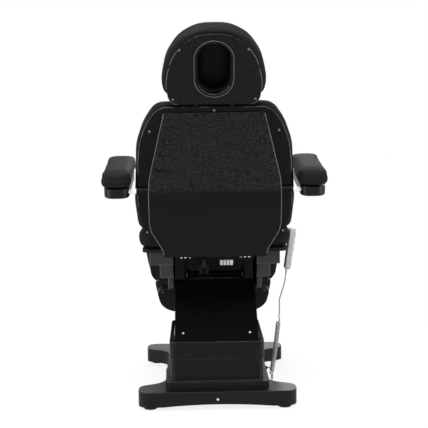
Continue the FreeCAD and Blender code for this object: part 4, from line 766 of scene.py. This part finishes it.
def turned(profile, sides, place, axis):
    """A profile of (radius, height) pairs turned round an axis: (r cos a, r sin a, h), then put in place."""
    profile = np.array(profile, float)
    radius, height = profile[:, :1], np.repeat(profile[:, 1:], sides, 1)
    angle = np.linspace(0, 2 * np.pi, sides, endpoint=False)
    flat = np.stack([radius * np.cos(angle), radius * np.sin(angle), height], -1)
    turn = np.array(Vector((0, 0, 1)).rotation_difference(Vector(axis)).to_matrix())
    points = flat.reshape(-1, 3) @ turn.T + np.array(place)
    i, j = np.meshgrid(np.arange(len(profile) - 1) * sides, np.arange(sides), indexing="ij")
    k = (j + 1) % sides
    faces = np.stack([i + j, i + k, i + sides + k, i + sides + j], -1).reshape(-1, 4).tolist()
    faces += [list(range(sides))[::-1], list(range((len(profile) - 1) * sides, len(profile) * sides))]
    return points, faces


def fasteners(name, profile, sides, places, axis, slot, body):
    """One flat-shaded piece that holds the same fastener at each place."""
    points, faces = [], []
    for place in places:
        more, rings = turned(profile, sides, place, axis)
        faces += [[i + len(points) for i in ring] for ring in rings]
        points += more.tolist()
    mesh = bpy.data.meshes.new(name)
    mesh.from_pydata(points, [], faces)
    piece = add_piece(name, mesh, slot, body)
    mesh.polygons.foreach_set("use_smooth", np.zeros(len(mesh.polygons), bool))
    print(name, len(places))
    return piece


def under_tray(node, x, run):
    """The point on the back of a leg tray, at a width and a distance from the leg rest's hinge."""
    start = LEG_HINGE + Vector((x, 0, 0)) + Vector(LEG_ALONG) * run - Vector(LEG_UP) * RAY_LENGTH
    return surface_of(node + "_moulding").ray_cast(start, Vector(LEG_UP))[0]


nut_places = [(side * x, RAIL_REAR, RAIL_MIDDLE) for side in (-1, 1) for x in NUT_X]
fasteners("seat_nuts", NUT, NUT_SIDES, nut_places, REARWARD, "zinc", "carriage")
for body, width, run_down in TRAY_SCREWS:
    places = [under_tray(body + "_shell", side * width, run_down) for side in (-1, 1)]
    heads = fasteners(body + "_tray_screws", PAN_HEAD, HEAD_SIDES, places, UNDER_LEG, "zinc", body)
    heads.data.materials[0] = BLACK_SCREW.material

# %% [markdown]
# The photograph has a white ground. Turning the lamps up until the floor is white would wash out the black
# chair. So the ground's white comes from the light path: a ray that comes from the camera, from a
# reflection or through glass sees plain white, and the lamps stay at a level at which black looks black.


# %% White ground
def backdrop_share(tree):
    """1 for a ray that sees the plain white ground, which camera, glossy and transmitted rays do, else 0."""
    path = tree.nodes.new("ShaderNodeLightPath")
    total = path.outputs["Is Camera Ray"]
    for name in ("Is Glossy Ray", "Is Transmission Ray"):
        add = tree.nodes.new("ShaderNodeMath")
        add.operation = "MAXIMUM"
        tree.links.new(total, add.inputs[0])
        tree.links.new(path.outputs[name], add.inputs[1])
        total = add.outputs[0]
    return total


def mixed(tree, share, first, second, output):
    """Mixes two shaders by a share and links them to the tree's output."""
    mix = tree.nodes.new("ShaderNodeMixShader")
    for socket, source in zip(mix.inputs, (share, first, second)):
        tree.links.new(source, socket)
    tree.links.new(mix.outputs[0], next(n for n in tree.nodes if n.type == output).inputs[0])


WHITE, AMBIENT = (1, 1, 1, 1), 0.45
scene.world = bpy.data.worlds.new("studio")
scene.world.use_nodes = True
sky = scene.world.node_tree
ambient = next(n for n in sky.nodes if n.type == "BACKGROUND")
ambient.inputs["Color"].default_value, ambient.inputs["Strength"].default_value = WHITE, AMBIENT
white = sky.nodes.new("ShaderNodeBackground")
white.inputs["Color"].default_value = WHITE
mixed(sky, backdrop_share(sky), ambient.outputs[0], white.outputs[0], "OUTPUT_WORLD")
print("ambient light", AMBIENT)

# %% [markdown]
# The floor is pale paint that shows the chair's shadow. Its paint shows a little through the white near the
# chair and not at all further out, so the shadow fades into the ground without an edge.

# %% Floor
FLOOR_HALF, FLOOR_TONE, FLOOR_ROUGH = 14.0, (0.9, 0.9, 0.9, 1), 0.9
SHADOW_NEAR, SHADOW_FAR, WHITE_NEAR, WHITE_FAR = 0.4, 1.6, 0.85, 1.0
floor_mesh = bpy.data.meshes.new("floor")
floor_corners = [(x * FLOOR_HALF, y * FLOOR_HALF, 0.0) for x, y in ((-1, -1), (1, -1), (1, 1), (-1, 1))]
floor_mesh.from_pydata(floor_corners, [], [(0, 1, 2, 3)])
floor = bpy.data.objects.new("floor", floor_mesh)
scene.collection.objects.link(floor)
paint = Finish("pale_floor").set(Base_Color=FLOOR_TONE, Roughness=FLOOR_ROUGH)
glow = paint.node("ShaderNodeEmission", inputs={"Color": WHITE, "Strength": 1.0})
distance = paint.node("ShaderNodeVectorMath", {"operation": "LENGTH"}, {0: paint.place}, out="Value")
plain = paint.node("ShaderNodeMapRange", {"interpolation_type": "SMOOTHSTEP"},
                   {"Value": distance, "From Min": SHADOW_NEAR, "From Max": SHADOW_FAR,
                    "To Min": WHITE_NEAR, "To Max": WHITE_FAR})
seen = plain * Value(paint, backdrop_share(paint.tree))
mixed(paint.tree, seen.socket, paint.shader.outputs[0], glow.socket, "OUTPUT_MATERIAL")
floor_mesh.materials.append(paint.material)
print("floor", 2 * FLOOR_HALF, "m across")

# %% [markdown]
# The light is soft: one large lamp above, two tall ones at the sides that draw the covers' edges, and one
# in front of the chair, so that the sitter's side isn't dark. Large lamps give soft shadows, as a studio's
# light boxes do.

# %% Lamps
# Each row: name, place, point it faces, width, height and watts.
LAMPS = [("key", (-0.2, -0.9, 3.2), (0, -0.1, 0.7), 2.4, 1.8, 140),
         ("left", (-2.3, -1.4, 0.75), (0, -0.2, 0.6), 0.5, 1.4, 45),
         ("right", (2.3, -1.4, 0.75), (0, -0.2, 0.6), 0.5, 1.4, 45),
         ("front", (0.6, 3.4, 2.2), (0, 0, 0.7), 1.8, 1.8, 50)]


def lamp(name, place, target, width, height, watts):
    """A rectangular lamp at a place that faces a point."""
    light = bpy.data.lights.new(name, "AREA")
    light.shape, light.size, light.size_y, light.energy = "RECTANGLE", width, height, watts
    holder = bpy.data.objects.new(name, light)
    holder.location = place
    holder.rotation_euler = (Vector(target) - Vector(place)).to_track_quat("-Z", "Y").to_euler()
    scene.collection.objects.link(holder)


for row in LAMPS:
    lamp(*row)
print("lamps", len(LAMPS))

# %% [markdown]
# The camera stands behind the chair at chest height and looks slightly down. It was fitted to the
# photograph and has the same small yaw and roll. A long lens keeps the sides of the chair nearly parallel.

# %% Camera
LENS, SENSOR, PITCH, YAW, ROLL = 77.34, 36.0, 6.18, 1.02, 0.75
EYE = (-0.0605, -3.7303 - ORIGIN_Y, 1.1066)
camera = bpy.data.cameras.new("camera")
camera.lens, camera.sensor_width = LENS, SENSOR
eye = bpy.data.objects.new("camera", camera)
eye.location = EYE
eye.rotation_euler = (math.radians(90.0 - PITCH), math.radians(ROLL), math.radians(-YAW))
scene.collection.objects.link(eye)
scene.camera = eye
scene.view_settings.view_transform = "Standard"
print("camera at", tuple(round(part, 3) for part in eye.location))
